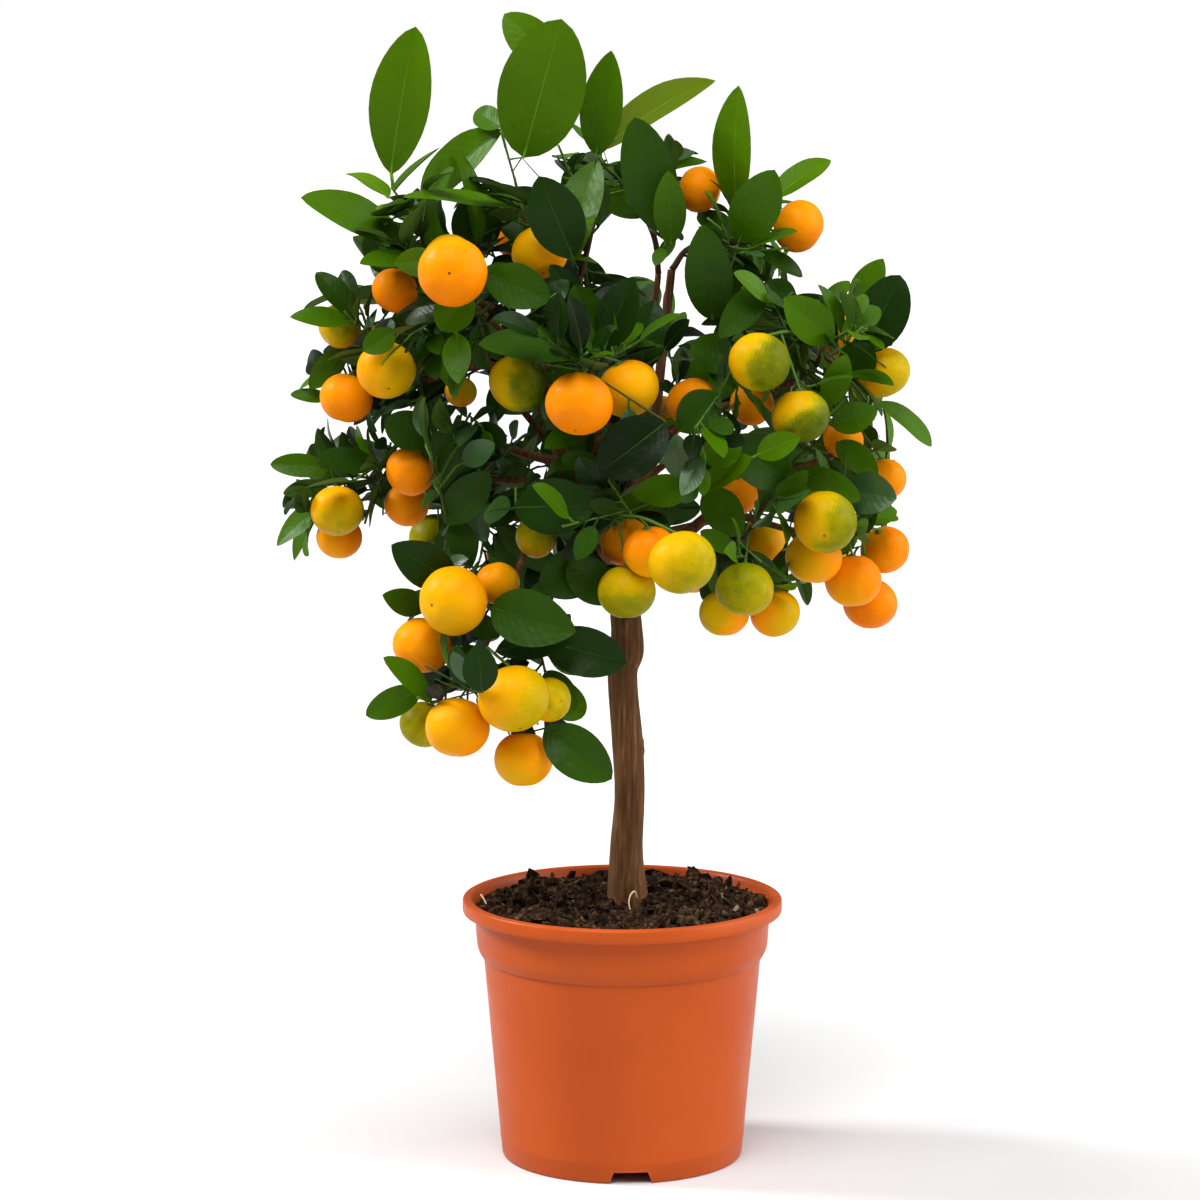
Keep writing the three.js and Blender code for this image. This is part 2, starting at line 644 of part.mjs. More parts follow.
function limbSolid(limb, grow) {
  const sides = limb.name === 'trunk' ? TRUNK_SIDES : BOUGH_SIDES;
  const points = limb.points.slice();
  const radii = limb.radii.map((radius) => radius + grow);
  if (grow > 0) {
    const end = points.length - 1;
    const ahead = unit(minus(points[end], points[end - 1]));
    points[end] = plus(points[end], times(ahead, grow));
    const back = unit(minus(points[0], points[1]));
    points[0] = plus(points[0], times(back, grow));
  }
  return solid(tube(points, radii, sides));
}

// ---------------------------------------------------------------- what stands in a leaf's way

// Limbs, twigs and fruit are kept as rows of balls, and leaves as fans of six triangles.
const plant = { balls: [], blades: [], shown: [] };

function addBalls(points, radii, kind, mass) {
  for (let i = 0; i + 1 < points.length; i += 1) {
    const count = Math.max(1, Math.ceil(apart(points[i], points[i + 1]) / BALL_STEP));
    for (let k = 0; k <= count; k += 1) {
      const radius = radii[i] + ((radii[i + 1] - radii[i]) * k) / count;
      plant.balls.push({ at: between(points[i], points[i + 1], k / count), radius, kind, mass });
    }
  }
}

// How far a point is past the plane between this mass's space and the nearest other one; negative is inside.
function outsideSpace(point, mass) {
  const power = (other) => {
    const d = minus(point, other.centre);
    return dot(d, d) - other.reach ** 2;
  };
  const own = power(mass);
  const rivals = MASSES.filter((other) => other !== mass);
  return Math.max(...rivals.map((other) => (own - power(other)) / (2 * apart(other.centre, mass.centre))));
}

function outsideCrown(point) {
  const d = minus(point, CROWN_CENTRE);
  return Math.hypot(d[0] / CROWN_REACH[0], d[1] / CROWN_REACH[1], d[2] / CROWN_REACH[2]) > 1;
}

// Where a point is seen from the front, on the plane y = 0.
function seenAt(point) {
  const t = -FRONT_EYE[1] / (point[1] - FRONT_EYE[1]);
  return [FRONT_EYE[0] + (point[0] - FRONT_EYE[0]) * t, FRONT_EYE[2] + (point[2] - FRONT_EYE[2]) * t];
}

function insidePolygon([x, z], polygon) {
  let inside = false;
  polygon.forEach(([ax, az], i) => {
    const [bx, bz] = polygon[(i + polygon.length - 1) % polygon.length];
    if (az > z !== bz > z && x < ((bx - ax) * (z - az)) / (bz - az) + ax) inside = !inside;
  });
  return inside;
}

function keepsOutline(points) {
  return points.every((point) => {
    const [x, z] = seenAt(point);
    const open = SKY.some(([skyX, skyZ, halfWidth, halfHeight]) => (
      Math.hypot((x - skyX) / halfWidth, (z - skyZ) / halfHeight) < 1));
    return !open && insidePolygon([x, z], CROWN_OUTLINE);
  });
}

// Whether a leaf hangs in front of a fruit or a leading leaf that shows from the front.
function hidesShown(leaf) {
  const outline = leaf.corners.map(seenAt);
  return plant.shown.some((point) => point[1] > leaf.mid[1] && insidePolygon(seenAt(point), outline));
}

function closestOnTriangle(p, a, b, c) {
  const ab = minus(b, a);
  const ac = minus(c, a);
  const ap = minus(p, a);
  const d1 = dot(ab, ap);
  const d2 = dot(ac, ap);
  if (d1 <= 0 && d2 <= 0) return a;
  const bp = minus(p, b);
  const d3 = dot(ab, bp);
  const d4 = dot(ac, bp);
  if (d3 >= 0 && d4 <= d3) return b;
  const vc = d1 * d4 - d3 * d2;
  if (vc <= 0 && d1 >= 0 && d3 <= 0) return plus(a, times(ab, d1 / (d1 - d3)));
  const cp = minus(p, c);
  const d5 = dot(ab, cp);
  const d6 = dot(ac, cp);
  if (d6 >= 0 && d5 <= d6) return c;
  const vb = d5 * d2 - d1 * d6;
  if (vb <= 0 && d2 >= 0 && d6 <= 0) return plus(a, times(ac, d2 / (d2 - d6)));
  const va = d3 * d6 - d5 * d4;
  if (va <= 0 && d4 - d3 >= 0 && d5 - d6 >= 0) {
    return between(b, c, (d4 - d3) / (d4 - d3 + (d5 - d6)));
  }
  const whole = va + vb + vc;
  return plus(a, plus(times(ab, vb / whole), times(ac, vc / whole)));
}

function crosses(from, to, [a, b, c]) {
  const along = minus(to, from);
  const ab = minus(b, a);
  const ac = minus(c, a);
  const h = cross(along, ac);
  const det = dot(ab, h);
  if (Math.abs(det) < 1e-12) return false;
  const s = minus(from, a);
  const u = dot(s, h) / det;
  const q = cross(s, ab);
  const v = dot(along, q) / det;
  const t = dot(ac, q) / det;
  return u >= -0.03 && v >= -0.03 && u + v <= 1.03 && t >= -0.02 && t <= 1.02;
}

// ---------------------------------------------------------------- leaves

// A leaf's outline has six corners: where its stalk leaves the twig, its left edge, its tip, its right edge.
function makeLeaf(attach, root, tip, width, face, mass) {
  const length = apart(root, tip);
  const along = unit(minus(tip, root));
  const up = squareTo(face, along);
  const side = cross(along, up);
  const lift = length > LARGE_LEAF ? 0 : LEAF_ARCH * length;
  const edge = (share, sign, half) => (
    plus(between(root, tip, share), plus(times(side, sign * half * width), times(up, lift))));
  const left = [edge(0.3, 1, 0.48), edge(0.7, 1, 0.48)];
  const right = [edge(0.7, -1, 0.48), edge(0.3, -1, 0.48)];
  const corners = [attach, ...left, tip, ...right];
  const kite = [attach, edge(0.48, 1, 0.52), tip, edge(0.48, -1, 0.52)];
  const mid = plus(between(root, tip, 0.4), times(up, LEAF_THICK + lift));
  const triangles = corners.map((corner, i) => [mid, corner, corners[(i + 1) % 6]]);
  return { attach, root, tip, width, up, length, corners, kite, mid, triangles, mass };
}

function clearOfBalls(leaf) {
  const { attach, mid, triangles, length, mass } = leaf;
  return plant.balls.every((ball) => {
    const own = ball.kind === 'twig' && ball.mass === mass && apart(ball.at, attach) < 5 + ball.radius;
    if (own || apart(ball.at, mid) > length + ball.radius) return true;
    const limit = ball.radius + CLEAR;
    return triangles.every(([a, b, c]) => apart(ball.at, closestOnTriangle(ball.at, a, b, c)) > limit);
  });
}

function edgesOf({ corners, mid }) {
  const edges = corners.map((corner, i) => [corner, corners[(i + 1) % 6]]);
  return [...edges, [mid, corners[3]], [mid, corners[1]], [mid, corners[5]], [corners[1], corners[5]]];
}

function clearOfBlades(leaf) {
  const cuts = (one, two) => edgesOf(one).some(([from, to]) => (
    two.triangles.some((face) => crosses(from, to, face))));
  const near = (one, two) => edgesOf(one).flatMap(([a, b]) => [a, between(a, b, 0.5)]).some((point) => (
    two.triangles.some(([a, b, c]) => apart(point, closestOnTriangle(point, a, b, c)) < BLADES_APART)));
  return plant.blades.every((other) => {
    if (apart(other.mid, leaf.mid) > (other.length + leaf.length) * 0.62) return true;
    if (cuts(leaf, other) || cuts(other, leaf)) return false;
    return other.mass === leaf.mass || !(near(leaf, other) || near(other, leaf));
  });
}

function seededLeafFits(leaf) {
  const { corners, mid, triangles, mass } = leaf;
  const points = [...corners.slice(1), mid];
  if (points.some((point) => outsideSpace(point, mass) > -SPACE_EDGE || outsideCrown(point))) return false;
  const centres = triangles.map(([a, b, c]) => times(plus(a, plus(b, c)), 1 / 3));
  if (!keepsOutline([...points, ...centres]) || hidesShown(leaf)) return false;
  return clearOfBalls(leaf) && clearOfBlades(leaf);
}

// ---------------------------------------------------------------- twigs

function twigClear(points, radius, fruit, mass) {
  for (let i = 0; i + 1 < points.length; i += 1) {
    const count = Math.ceil(apart(points[i], points[i + 1]) / BALL_STEP);
    for (let k = 0; k <= count; k += 1) {
      const at = between(points[i], points[i + 1], k / count);
      const blocked = plant.balls.some((ball) => {
        if ((ball.kind === 'twig' && ball.mass === mass) || ball === fruit) return false;
        return apart(ball.at, at) < ball.radius + radius + CLEAR;
      });
      if (blocked) return false;
    }
    if (plant.blades.some((leaf) => leaf.triangles.some((face) => crosses(points[i], points[i + 1], face)))) {
      return false;
    }
  }
  return true;
}

function addTwig(growth, points, startThick, tipThick) {
  const last = points.length - 1;
  const thickAt = (t) => startThick + (tipThick - startThick) * t;
  const radii = points.map((_, i) => thickAt(i / last) / 2);
  growth.twigs.push({ points, radii });
  addBalls(points, radii, 'twig', growth.mass);
  for (let i = 0; i < last; i += 1) {
    const count = Math.ceil(apart(points[i], points[i + 1]) / NODE_STEP);
    for (let k = 1; k <= count; k += 1) {
      const t = (k - 0.3) / count;
      growth.nodes.push({ at: between(points[i], points[i + 1], t), thick: thickAt((i + t) / last) });
    }
  }
}

function bowed(from, to, bow, steps) {
  const middle = plus(between(from, to, 0.5), bow);
  const points = [];
  for (let i = 0; i <= steps; i += 1) {
    const t = i / steps;
    points.push(between(between(from, middle, t), between(middle, to, t), t));
  }
  return points;
}

// A twig to a point from the nearest place on the mass's twigs with a free way, or null.
function growTwig(growth, to, thick, fruit = null) {
  const free = growth.nodes.filter((node) => !node.taken);
  const order = free.sort((a, b) => apart(a.at, to) - apart(b.at, to));
  for (const node of order.slice(0, NODES_TRIED)) {
    const length = apart(node.at, to);
    const steps = Math.max(1, Math.round(length / TWIG_STEP));
    const sideways = times(unit([to[1] - node.at[1], node.at[0] - to[0], 0.01]), 0.22 * length);
    const bows = [[0, 0, fruit ? 0.16 * length : -0.08 * length], sideways, times(sideways, -1)];
    for (const bow of bows) {
      const points = bowed(node.at, to, bow, steps);
      if (twigClear(points, thick / 2, fruit, growth.mass)) {
        addTwig(growth, points, Math.min(thick, node.thick * BRANCH_SHARE), Math.min(thick, TWIG_TIP));
        node.taken = true;
        return points;
      }
    }
  }
  return null;
}

function growStem(mass, limbs) {
  const bough = limbs.find((limb) => limb.name === mass.bough);
  const [before, tip] = bough.points.slice(-2);
  const growth = { mass, nodes: [], twigs: [], shoots: [], leaves: [], fruits: [] };
  const reach = apart(tip, mass.centre);
  const bow = plus(times(unit(minus(tip, before)), reach * 0.4), times(minus(tip, mass.centre), 0.5));
  const steps = Math.max(2, Math.round(reach / TWIG_STEP));
  addTwig(growth, bowed(tip, mass.centre, bow, steps), STEM_THICK, SHOOT_THICK);
  return growth;
}

function hangFruit(growth, [x, y, z, across]) {
  const ball = { at: [x, y, z], radius: across / 2, kind: 'fruit', mass: growth.mass };
  growth.fruits.push(ball);
  plant.balls.push(ball);
  if (y < SHOWN_DEPTH) {
    plant.shown.push(ball.at);
    for (let k = 0; k < 6; k += 1) {
      const angle = (Math.PI * k) / 3;
      const out = [0.6 * Math.cos(angle), 0, 0.6 * Math.sin(angle)];
      plant.shown.push(plus(ball.at, times(out, ball.radius)));
    }
  }
}

// The leading leaf's measured width says how far it is turned from the front.
function plannedLeaf([rx, ry, rz, tx, ty, tz, seenWidth], shift, mass) {
  const root = [rx, ry + shift, rz];
  const tip = [tx, ty + shift, tz];
  const along = unit(minus(tip, root));
  const toFront = squareTo([0, -1, 0.15], along);
  const sideways = cross(along, toFront);
  const width = Math.max(seenWidth, 0.42 * apart(root, tip));
  const turn = Math.acos(Math.min(1, seenWidth / width));
  const sign = sideways[2] >= 0 ? 1 : -1;
  const face = plus(times(toFront, Math.cos(turn)), times(sideways, sign * Math.sin(turn)));
  return makeLeaf(root, root, tip, width, face, mass);
}

// Where a leaf leaves its twig: a free node close to its root, or the end of a twig grown for it, or null.
function leafAttach(growth, leaf) {
  const rise = (node) => dot(minus(node.at, leaf.root), leaf.up);
  const free = growth.nodes.filter((node) => !node.taken && rise(node) < PETIOLE_RISE);
  const [near] = free.sort((a, b) => apart(a.at, leaf.root) - apart(b.at, leaf.root));
  if (near && apart(near.at, leaf.root) <= PETIOLE_REACH) {
    near.taken = true;
    return near.at;
  }
  const twig = growTwig(growth, leaf.root, STALK_THICK);
  if (!twig) return null;
  const [before, end] = twig.slice(-2);
  return plus(end, times(unit(minus(before, end)), SINK));
}

// A leading leaf that would touch something stands a little nearer or farther.
function growPlannedLeaf(growth, row) {
  for (const shift of DEPTH_SHIFTS) {
    const leaf = plannedLeaf(row, shift, growth.mass);
    const attach = clearOfBalls(leaf) && clearOfBlades(leaf) && leafAttach(growth, leaf);
    if (attach) {
      const grown = makeLeaf(attach, leaf.root, leaf.tip, leaf.width, leaf.up, growth.mass);
      growth.leaves.push({ ...grown, leading: true });
      plant.blades.push(grown);
      plant.shown.push(leaf.mid, between(leaf.root, leaf.tip, 0.25), between(leaf.root, leaf.tip, 0.75));
      return;
    }
  }
}

// What is planned for a mass: its leading shoots, its fruit on their stalks and its leading leaves.
function growPlanned(growth) {
  const { mass } = growth;
  for (const tip of mass.shoots) {
    const shoot = growTwig(growth, tip, SHOOT_THICK);
    if (shoot) growth.shoots.push(shoot);
  }
  for (const ball of growth.fruits) {
    const top = plus(ball.at, [0, 0, ball.radius * 0.8]);
    growTwig(growth, top, STALK_THICK, ball);
  }
  for (const row of mass.leaves) growPlannedLeaf(growth, row);
}

// The upper face looks up and outward; a leaf that points that way itself turns its face to the side.
function leafFace(along, root, jitter) {
  const outward = unit(minus(root, CROWN_CENTRE));
  const lean = plus([0, 0, FACE_UP], plus(times(outward, FACE_OUT), jitter));
  return Math.abs(dot(unit(lean), along)) > 0.96 ? [outward[1], -outward[0], 0.4] : lean;
}

// Leaves stand along a twig by the golden angle, the last one at its tip.
function growLeaves(growth, points, random) {
  const { mass } = growth;
  const lengths = points.slice(1).map((point, i) => apart(points[i], point));
  const total = lengths.reduce((sum, length) => sum + length, 0);
  const count = Math.max(2, Math.round(total / LEAF_SPACING));
  for (let i = 0; i <= count; i += 1) {
    let rest = (total * (i + 0.5)) / (count + 0.6);
    let k = 0;
    while (k < lengths.length - 1 && rest > lengths[k]) {
      rest -= lengths[k];
      k += 1;
    }
    const attach = between(points[k], points[k + 1], rest / lengths[k]);
    const ahead = unit(minus(points[k + 1], points[k]));
    const across = squareTo(Math.abs(ahead[2]) < 0.9 ? [0, 0, 1] : [1, 0, 0], ahead);
    const other = cross(ahead, across);
    const turn = random() * 0.8;
    const length = mass.size * (0.75 + 0.5 * random());
    const width = length * (0.46 + 0.12 * random());
    const spread = LEAF_ANGLE * (i === count ? 0.35 : 0.8 + 0.5 * random());
    const jitter = [random() - 0.5, random() - 0.5, random() - 0.5];
    for (let attempt = 0; attempt < LEAF_ATTEMPTS; attempt += 1) {
      const angle = GOLDEN_ANGLE * i + turn + attempt * 1.1;
      const out = plus(times(across, Math.cos(angle)), times(other, Math.sin(angle)));
      const along = unit(plus(times(ahead, Math.cos(spread)), times(out, Math.sin(spread))));
      const shrink = 1 - 0.07 * attempt;
      const root = plus(attach, times(along, PETIOLE));
      const tip = plus(root, times(along, length * shrink));
      const leaf = makeLeaf(attach, root, tip, width * shrink, leafFace(along, root, jitter), mass);
      if (seededLeafFits(leaf)) {
        growth.leaves.push(leaf);
        plant.blades.push(leaf);
        break;
      }
    }
  }
}

// The seeded twigs reach for points spread evenly over the mass's space.
function growSeeded(growth) {
  const { mass } = growth;
  const random = seededRandom(mass.seed);
  for (const shoot of growth.shoots) growLeaves(growth, shoot, random);
  for (let i = 0; i < mass.twigs; i += 1) {
    const height = 1 - (2 * i + 1) / mass.twigs;
    const ring = Math.sqrt(1 - height * height);
    const angle = GOLDEN_ANGLE * i + mass.seed + random();
    const stretch = 0.5 + 0.2 * random();
    const direction = [ring * Math.cos(angle), ring * Math.sin(angle), height];
    const tip = plus(mass.centre, times(direction, mass.reach * stretch));
    const inside = outsideSpace(tip, mass) < -TWIG_EDGE && !outsideCrown(tip) && keepsOutline([tip]);
    const before = [plant.balls.length, growth.nodes.length, growth.leaves.length];
    const twig = inside && growTwig(growth, tip, TWIG_THICK);
    if (twig) growLeaves(growth, twig, random);
    if (twig && growth.leaves.length === before[2]) {
      growth.twigs.pop();
      plant.balls.length = before[0];
      growth.nodes.length = before[1];
    }
  }
}

// ---------------------------------------------------------------- a mass as one solid

// A large leading leaf keeps its six-cornered outline, a lesser one is a kite. Both are flat underneath from
// edge to edge and thickest over the middle.
function leafSolid(leaf) {
  const outline = leaf.leading && leaf.length > LARGE_LEAF ? leaf.corners : leaf.kite;
  const count = outline.length;
  const faces = outline.map((_, i) => [i, (i + 1) % count, count]);
  faces.push([0, count - 1, 1]);
  for (let i = 1; i + 1 < count / 2; i += 1) {
    faces.push([i, count - i, i + 1], [i + 1, count - i, count - i - 1]);
  }
  faces.push([count / 2 - 1, count / 2 + 1, count / 2]);
  return solid(facets([...outline, leaf.mid], faces));
}

function fruitSolid(ball) {
  const geometry = new THREE.SphereGeometry(ball.radius * FRUIT_SPREAD, FRUIT_SIDES, FRUIT_RINGS);
  geometry.rotateX(Math.PI / 2);
  geometry.translate(...ball.at);
  return solid(geometry);
}

function massSolid(growth, limbTools) {
  const parts = [
    ...growth.twigs.map(({ points, radii }) => solid(tube(points, radii, 3))),
    ...growth.leaves.map(leafSolid),
    ...growth.fruits.map(fruitSolid),
  ];
  return largestPiece(wasm.Manifold.union(parts).subtract(limbTools).simplify(MERGE));
}

// ---------------------------------------------------------------- the tree

const tree = new THREE.Group();

function addNode(name, body, colour, roughness) {
  const material = new THREE.MeshStandardMaterial({ color: colour, roughness, metalness: 0 });
  const mesh = new THREE.Mesh(geometryOf(body), material);
  mesh.name = name;
  tree.add(mesh);
}

addNode('pot', makePot(), COLOURS.pot, 0.5);
addNode('soil', makeSoil(), COLOURS.soil, 0.95);

const limbs = [trunkLimb()];
for (const row of BOUGHS) limbs.push(boughLimb(row, limbs));
for (const limb of limbs) addBalls(limb.points, limb.radii, 'limb', null);

let limbTools = null;
for (const limb of limbs) {
  const whole = limbSolid(limb, 0);
  const body = limbTools ? largestPiece(whole.subtract(limbTools).simplify(MERGE)) : whole;
  addNode(limb.name, body, COLOURS.bark, 0.85);
  const tool = limbSolid(limb, GAP);
  limbTools = limbTools ? limbTools.add(tool) : tool;
}

const growths = MASSES.map((mass) => growStem(mass, limbs));
for (const growth of growths) growth.mass.fruits.forEach((row) => hangFruit(growth, row));
for (const growth of growths) growPlanned(growth);
for (const growth of growths) growSeeded(growth);
growths.forEach((growth, i) => {
  const body = massSolid(growth, limbTools);
  addNode(growth.mass.name, body, COLOURS.leaf[i % COLOURS.leaf.length], 0.45);
});

export default tree;
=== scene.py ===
"""The looks of the calamondin orange tree in its pot.

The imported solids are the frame. Every mass of foliage grows again here by the source's own rule, is carried
on to finer twigs within the same reach, and gets curved leaves, round stalks and dimpled fruit. The trunk and
the boughs get their bark's relief, and the pot and the soil their own finer shapes. Sizes are in millimetres.
"""
import math
from collections import namedtuple
from types import SimpleNamespace as Record

import bpy
import numpy as np
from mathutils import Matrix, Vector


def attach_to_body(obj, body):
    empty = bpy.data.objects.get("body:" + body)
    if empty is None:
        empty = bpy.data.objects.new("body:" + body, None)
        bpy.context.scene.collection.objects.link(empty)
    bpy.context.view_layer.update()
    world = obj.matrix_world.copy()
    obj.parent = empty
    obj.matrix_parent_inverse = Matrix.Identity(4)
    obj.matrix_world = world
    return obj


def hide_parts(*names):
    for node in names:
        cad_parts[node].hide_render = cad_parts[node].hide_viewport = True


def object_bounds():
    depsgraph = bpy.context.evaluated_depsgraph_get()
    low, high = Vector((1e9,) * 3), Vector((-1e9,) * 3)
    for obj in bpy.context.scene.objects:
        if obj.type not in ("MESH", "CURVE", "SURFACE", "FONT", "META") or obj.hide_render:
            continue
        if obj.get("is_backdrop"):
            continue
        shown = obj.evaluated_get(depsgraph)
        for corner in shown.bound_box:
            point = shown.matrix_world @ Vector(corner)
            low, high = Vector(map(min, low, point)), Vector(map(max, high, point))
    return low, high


MM = 0.001

# ---------------------------------------------------------------- camera

CAMERA_PLACE = (-13.9, -2363.0, 670.5)
CAMERA_PITCH = 82.3  # degrees: 7.7 below level
CAMERA_LENS = 115.44  # mm of focal length on a 36 mm sensor


def add_object(name, data):
    thing = bpy.data.objects.new(name, data)
    bpy.context.scene.collection.objects.link(thing)
    return thing


def make_camera():
    data = bpy.data.cameras.new("camera")
    data.lens = CAMERA_LENS
    data.sensor_width = 36
    data.clip_end = 100
    camera = add_object("camera", data)
    camera.location = [value * MM for value in CAMERA_PLACE]
    camera.rotation_euler = (math.radians(CAMERA_PITCH), 0, 0)
    bpy.context.scene.camera = camera


make_camera()
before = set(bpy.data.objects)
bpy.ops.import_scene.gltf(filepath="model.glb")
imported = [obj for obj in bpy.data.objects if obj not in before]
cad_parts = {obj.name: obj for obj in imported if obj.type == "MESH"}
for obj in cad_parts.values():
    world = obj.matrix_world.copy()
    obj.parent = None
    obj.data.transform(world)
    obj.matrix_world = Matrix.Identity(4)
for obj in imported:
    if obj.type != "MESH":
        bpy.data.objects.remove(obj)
CAD_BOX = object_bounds()

# ---------------------------------------------------------------- sizes

POT_HEIGHT = 164
RIM_RADIUS = 100
MOUTH_RADIUS = 93.4
LIP_BOTTOM = 155
COLLAR_RADIUS = 92.3
COLLAR_FOOT_RADIUS = 90.9
COLLAR_BOTTOM = 130.6
BODY_TOP = 127.1
BODY_TOP_RADIUS = 86.8
FOOT_RADIUS = 75.4
WALL = 1.9
FLOOR_THICK = 2.2
FOOT_RING_WIDTH = 6
DRAIN_RECESS = 6.5
CENTRE_PAD_RADIUS = 40
NOTCHES = 3
NOTCH_HEIGHT = 7.4
NOTCH_TOP_WIDTH = 20.9
NOTCH_BOTTOM_WIDTH = 27.4
NOTCH_TURN = 3.8
DRAIN_HOLES = 6
DRAIN_RADIUS = 5
DRAIN_CIRCLE = 55
SOIL_EDGE = 157
SOIL_MIDDLE = 158

# The trunk: height, x, y, diameter.
TRUNK = [
    (158.3, 3.2, 0, 30), (164, 3.2, 0, 26), (174, 2.9, 0, 23.6), (195, 2.6, 0, 20.7), (228, 4.5, 0, 18.9),
    (261, 3.3, 0, 19.3), (293, 0.5, 0, 18.4), (308, 0.2, 0, 18.8), (319, 2.8, 0, 20.8), (333, 2.7, 0, 19.4),
    (346, 1.5, 0, 18), (353, 1, 0, 11),
]
FORK = (1, 0, 343)

# The boughs: name, parent, height on it (None: from the fork), bends, diameters at the start and the tip.
BOUGHS = [
    ("leader", "trunk", None, [(-12, -5, 388), (-30, -8, 430), (-43, -8, 461), (-52, -6, 552)], 14, 6),
    ("right_leader", "trunk", None, [(8, 6, 390), (17, 6, 440), (30, 2, 555)], 12, 5),
    ("right", "trunk", None, [(26, 3, 378), (66, 4, 412), (122, 0, 438)], 10, 4.5),
    ("back", "trunk", None, [(2, 22, 380), (0, 50, 420), (-8, 92, 462)], 10, 5),
    ("left", "leader", 462, [(-62, -6, 484), (-84, -3, 497), (-120, -10, 489)], 8, 5),
    ("top_left", "leader", 512, [(-72, -8, 528), (-112, -18, 548)], 6, 4),
    ("upper_left", "leader", 492, [(-62, -26, 508), (-84, -50, 532)], 5.5, 3.8),
    ("left_low", "leader", 436, [(-62, 4, 442), (-96, 6, 450), (-138, 0, 430)], 6.5, 4),
    ("left_inner", "leader", 420, [(-46, -22, 426), (-80, -36, 430)], 5.5, 3.8),
    ("front", "leader", 404, [(-20, -28, 428), (-14, -58, 460)], 6.5, 4),
    ("front_low", "leader", 372, [(-12, -24, 380), (-22, -50, 392)], 6, 4),
    ("hanging", "leader", 388, [(-34, -18, 400), (-52, -38, 400), (-68, -62, 366)], 6.5, 4),
    ("top_centre", "right_leader", 500, [(20, 10, 528), (22, 12, 552)], 5, 3.8),
    ("shoulder", "right_leader", 452, [(40, 0, 466), (72, -4, 474), (106, -14, 488)], 6.5, 4),
    ("inner_right", "right_leader", 424, [(24, -18, 436), (40, -40, 448)], 5, 3.8),
    ("right_low", "right", 404, [(74, -12, 404), (102, -28, 398)], 5.5, 3.8),
    ("front_right", "right", 378, [(36, -22, 384), (50, -50, 392)], 5.5, 3.8),
    ("back_top", "leader", 478, [(-38, 16, 500), (-26, 50, 548)], 6, 4),
    ("back_left", "back", 398, [(-28, 44, 424), (-84, 76, 488)], 6.5, 4),
    ("back_right", "back", 410, [(22, 50, 438), (64, 74, 486)], 6.5, 4),
    ("back_low_left", "back", 378, [(-24, 38, 386), (-80, 66, 398)], 6, 4),
    ("back_low_right", "back", 384, [(24, 40, 388), (64, 70, 394)], 6, 4),
]

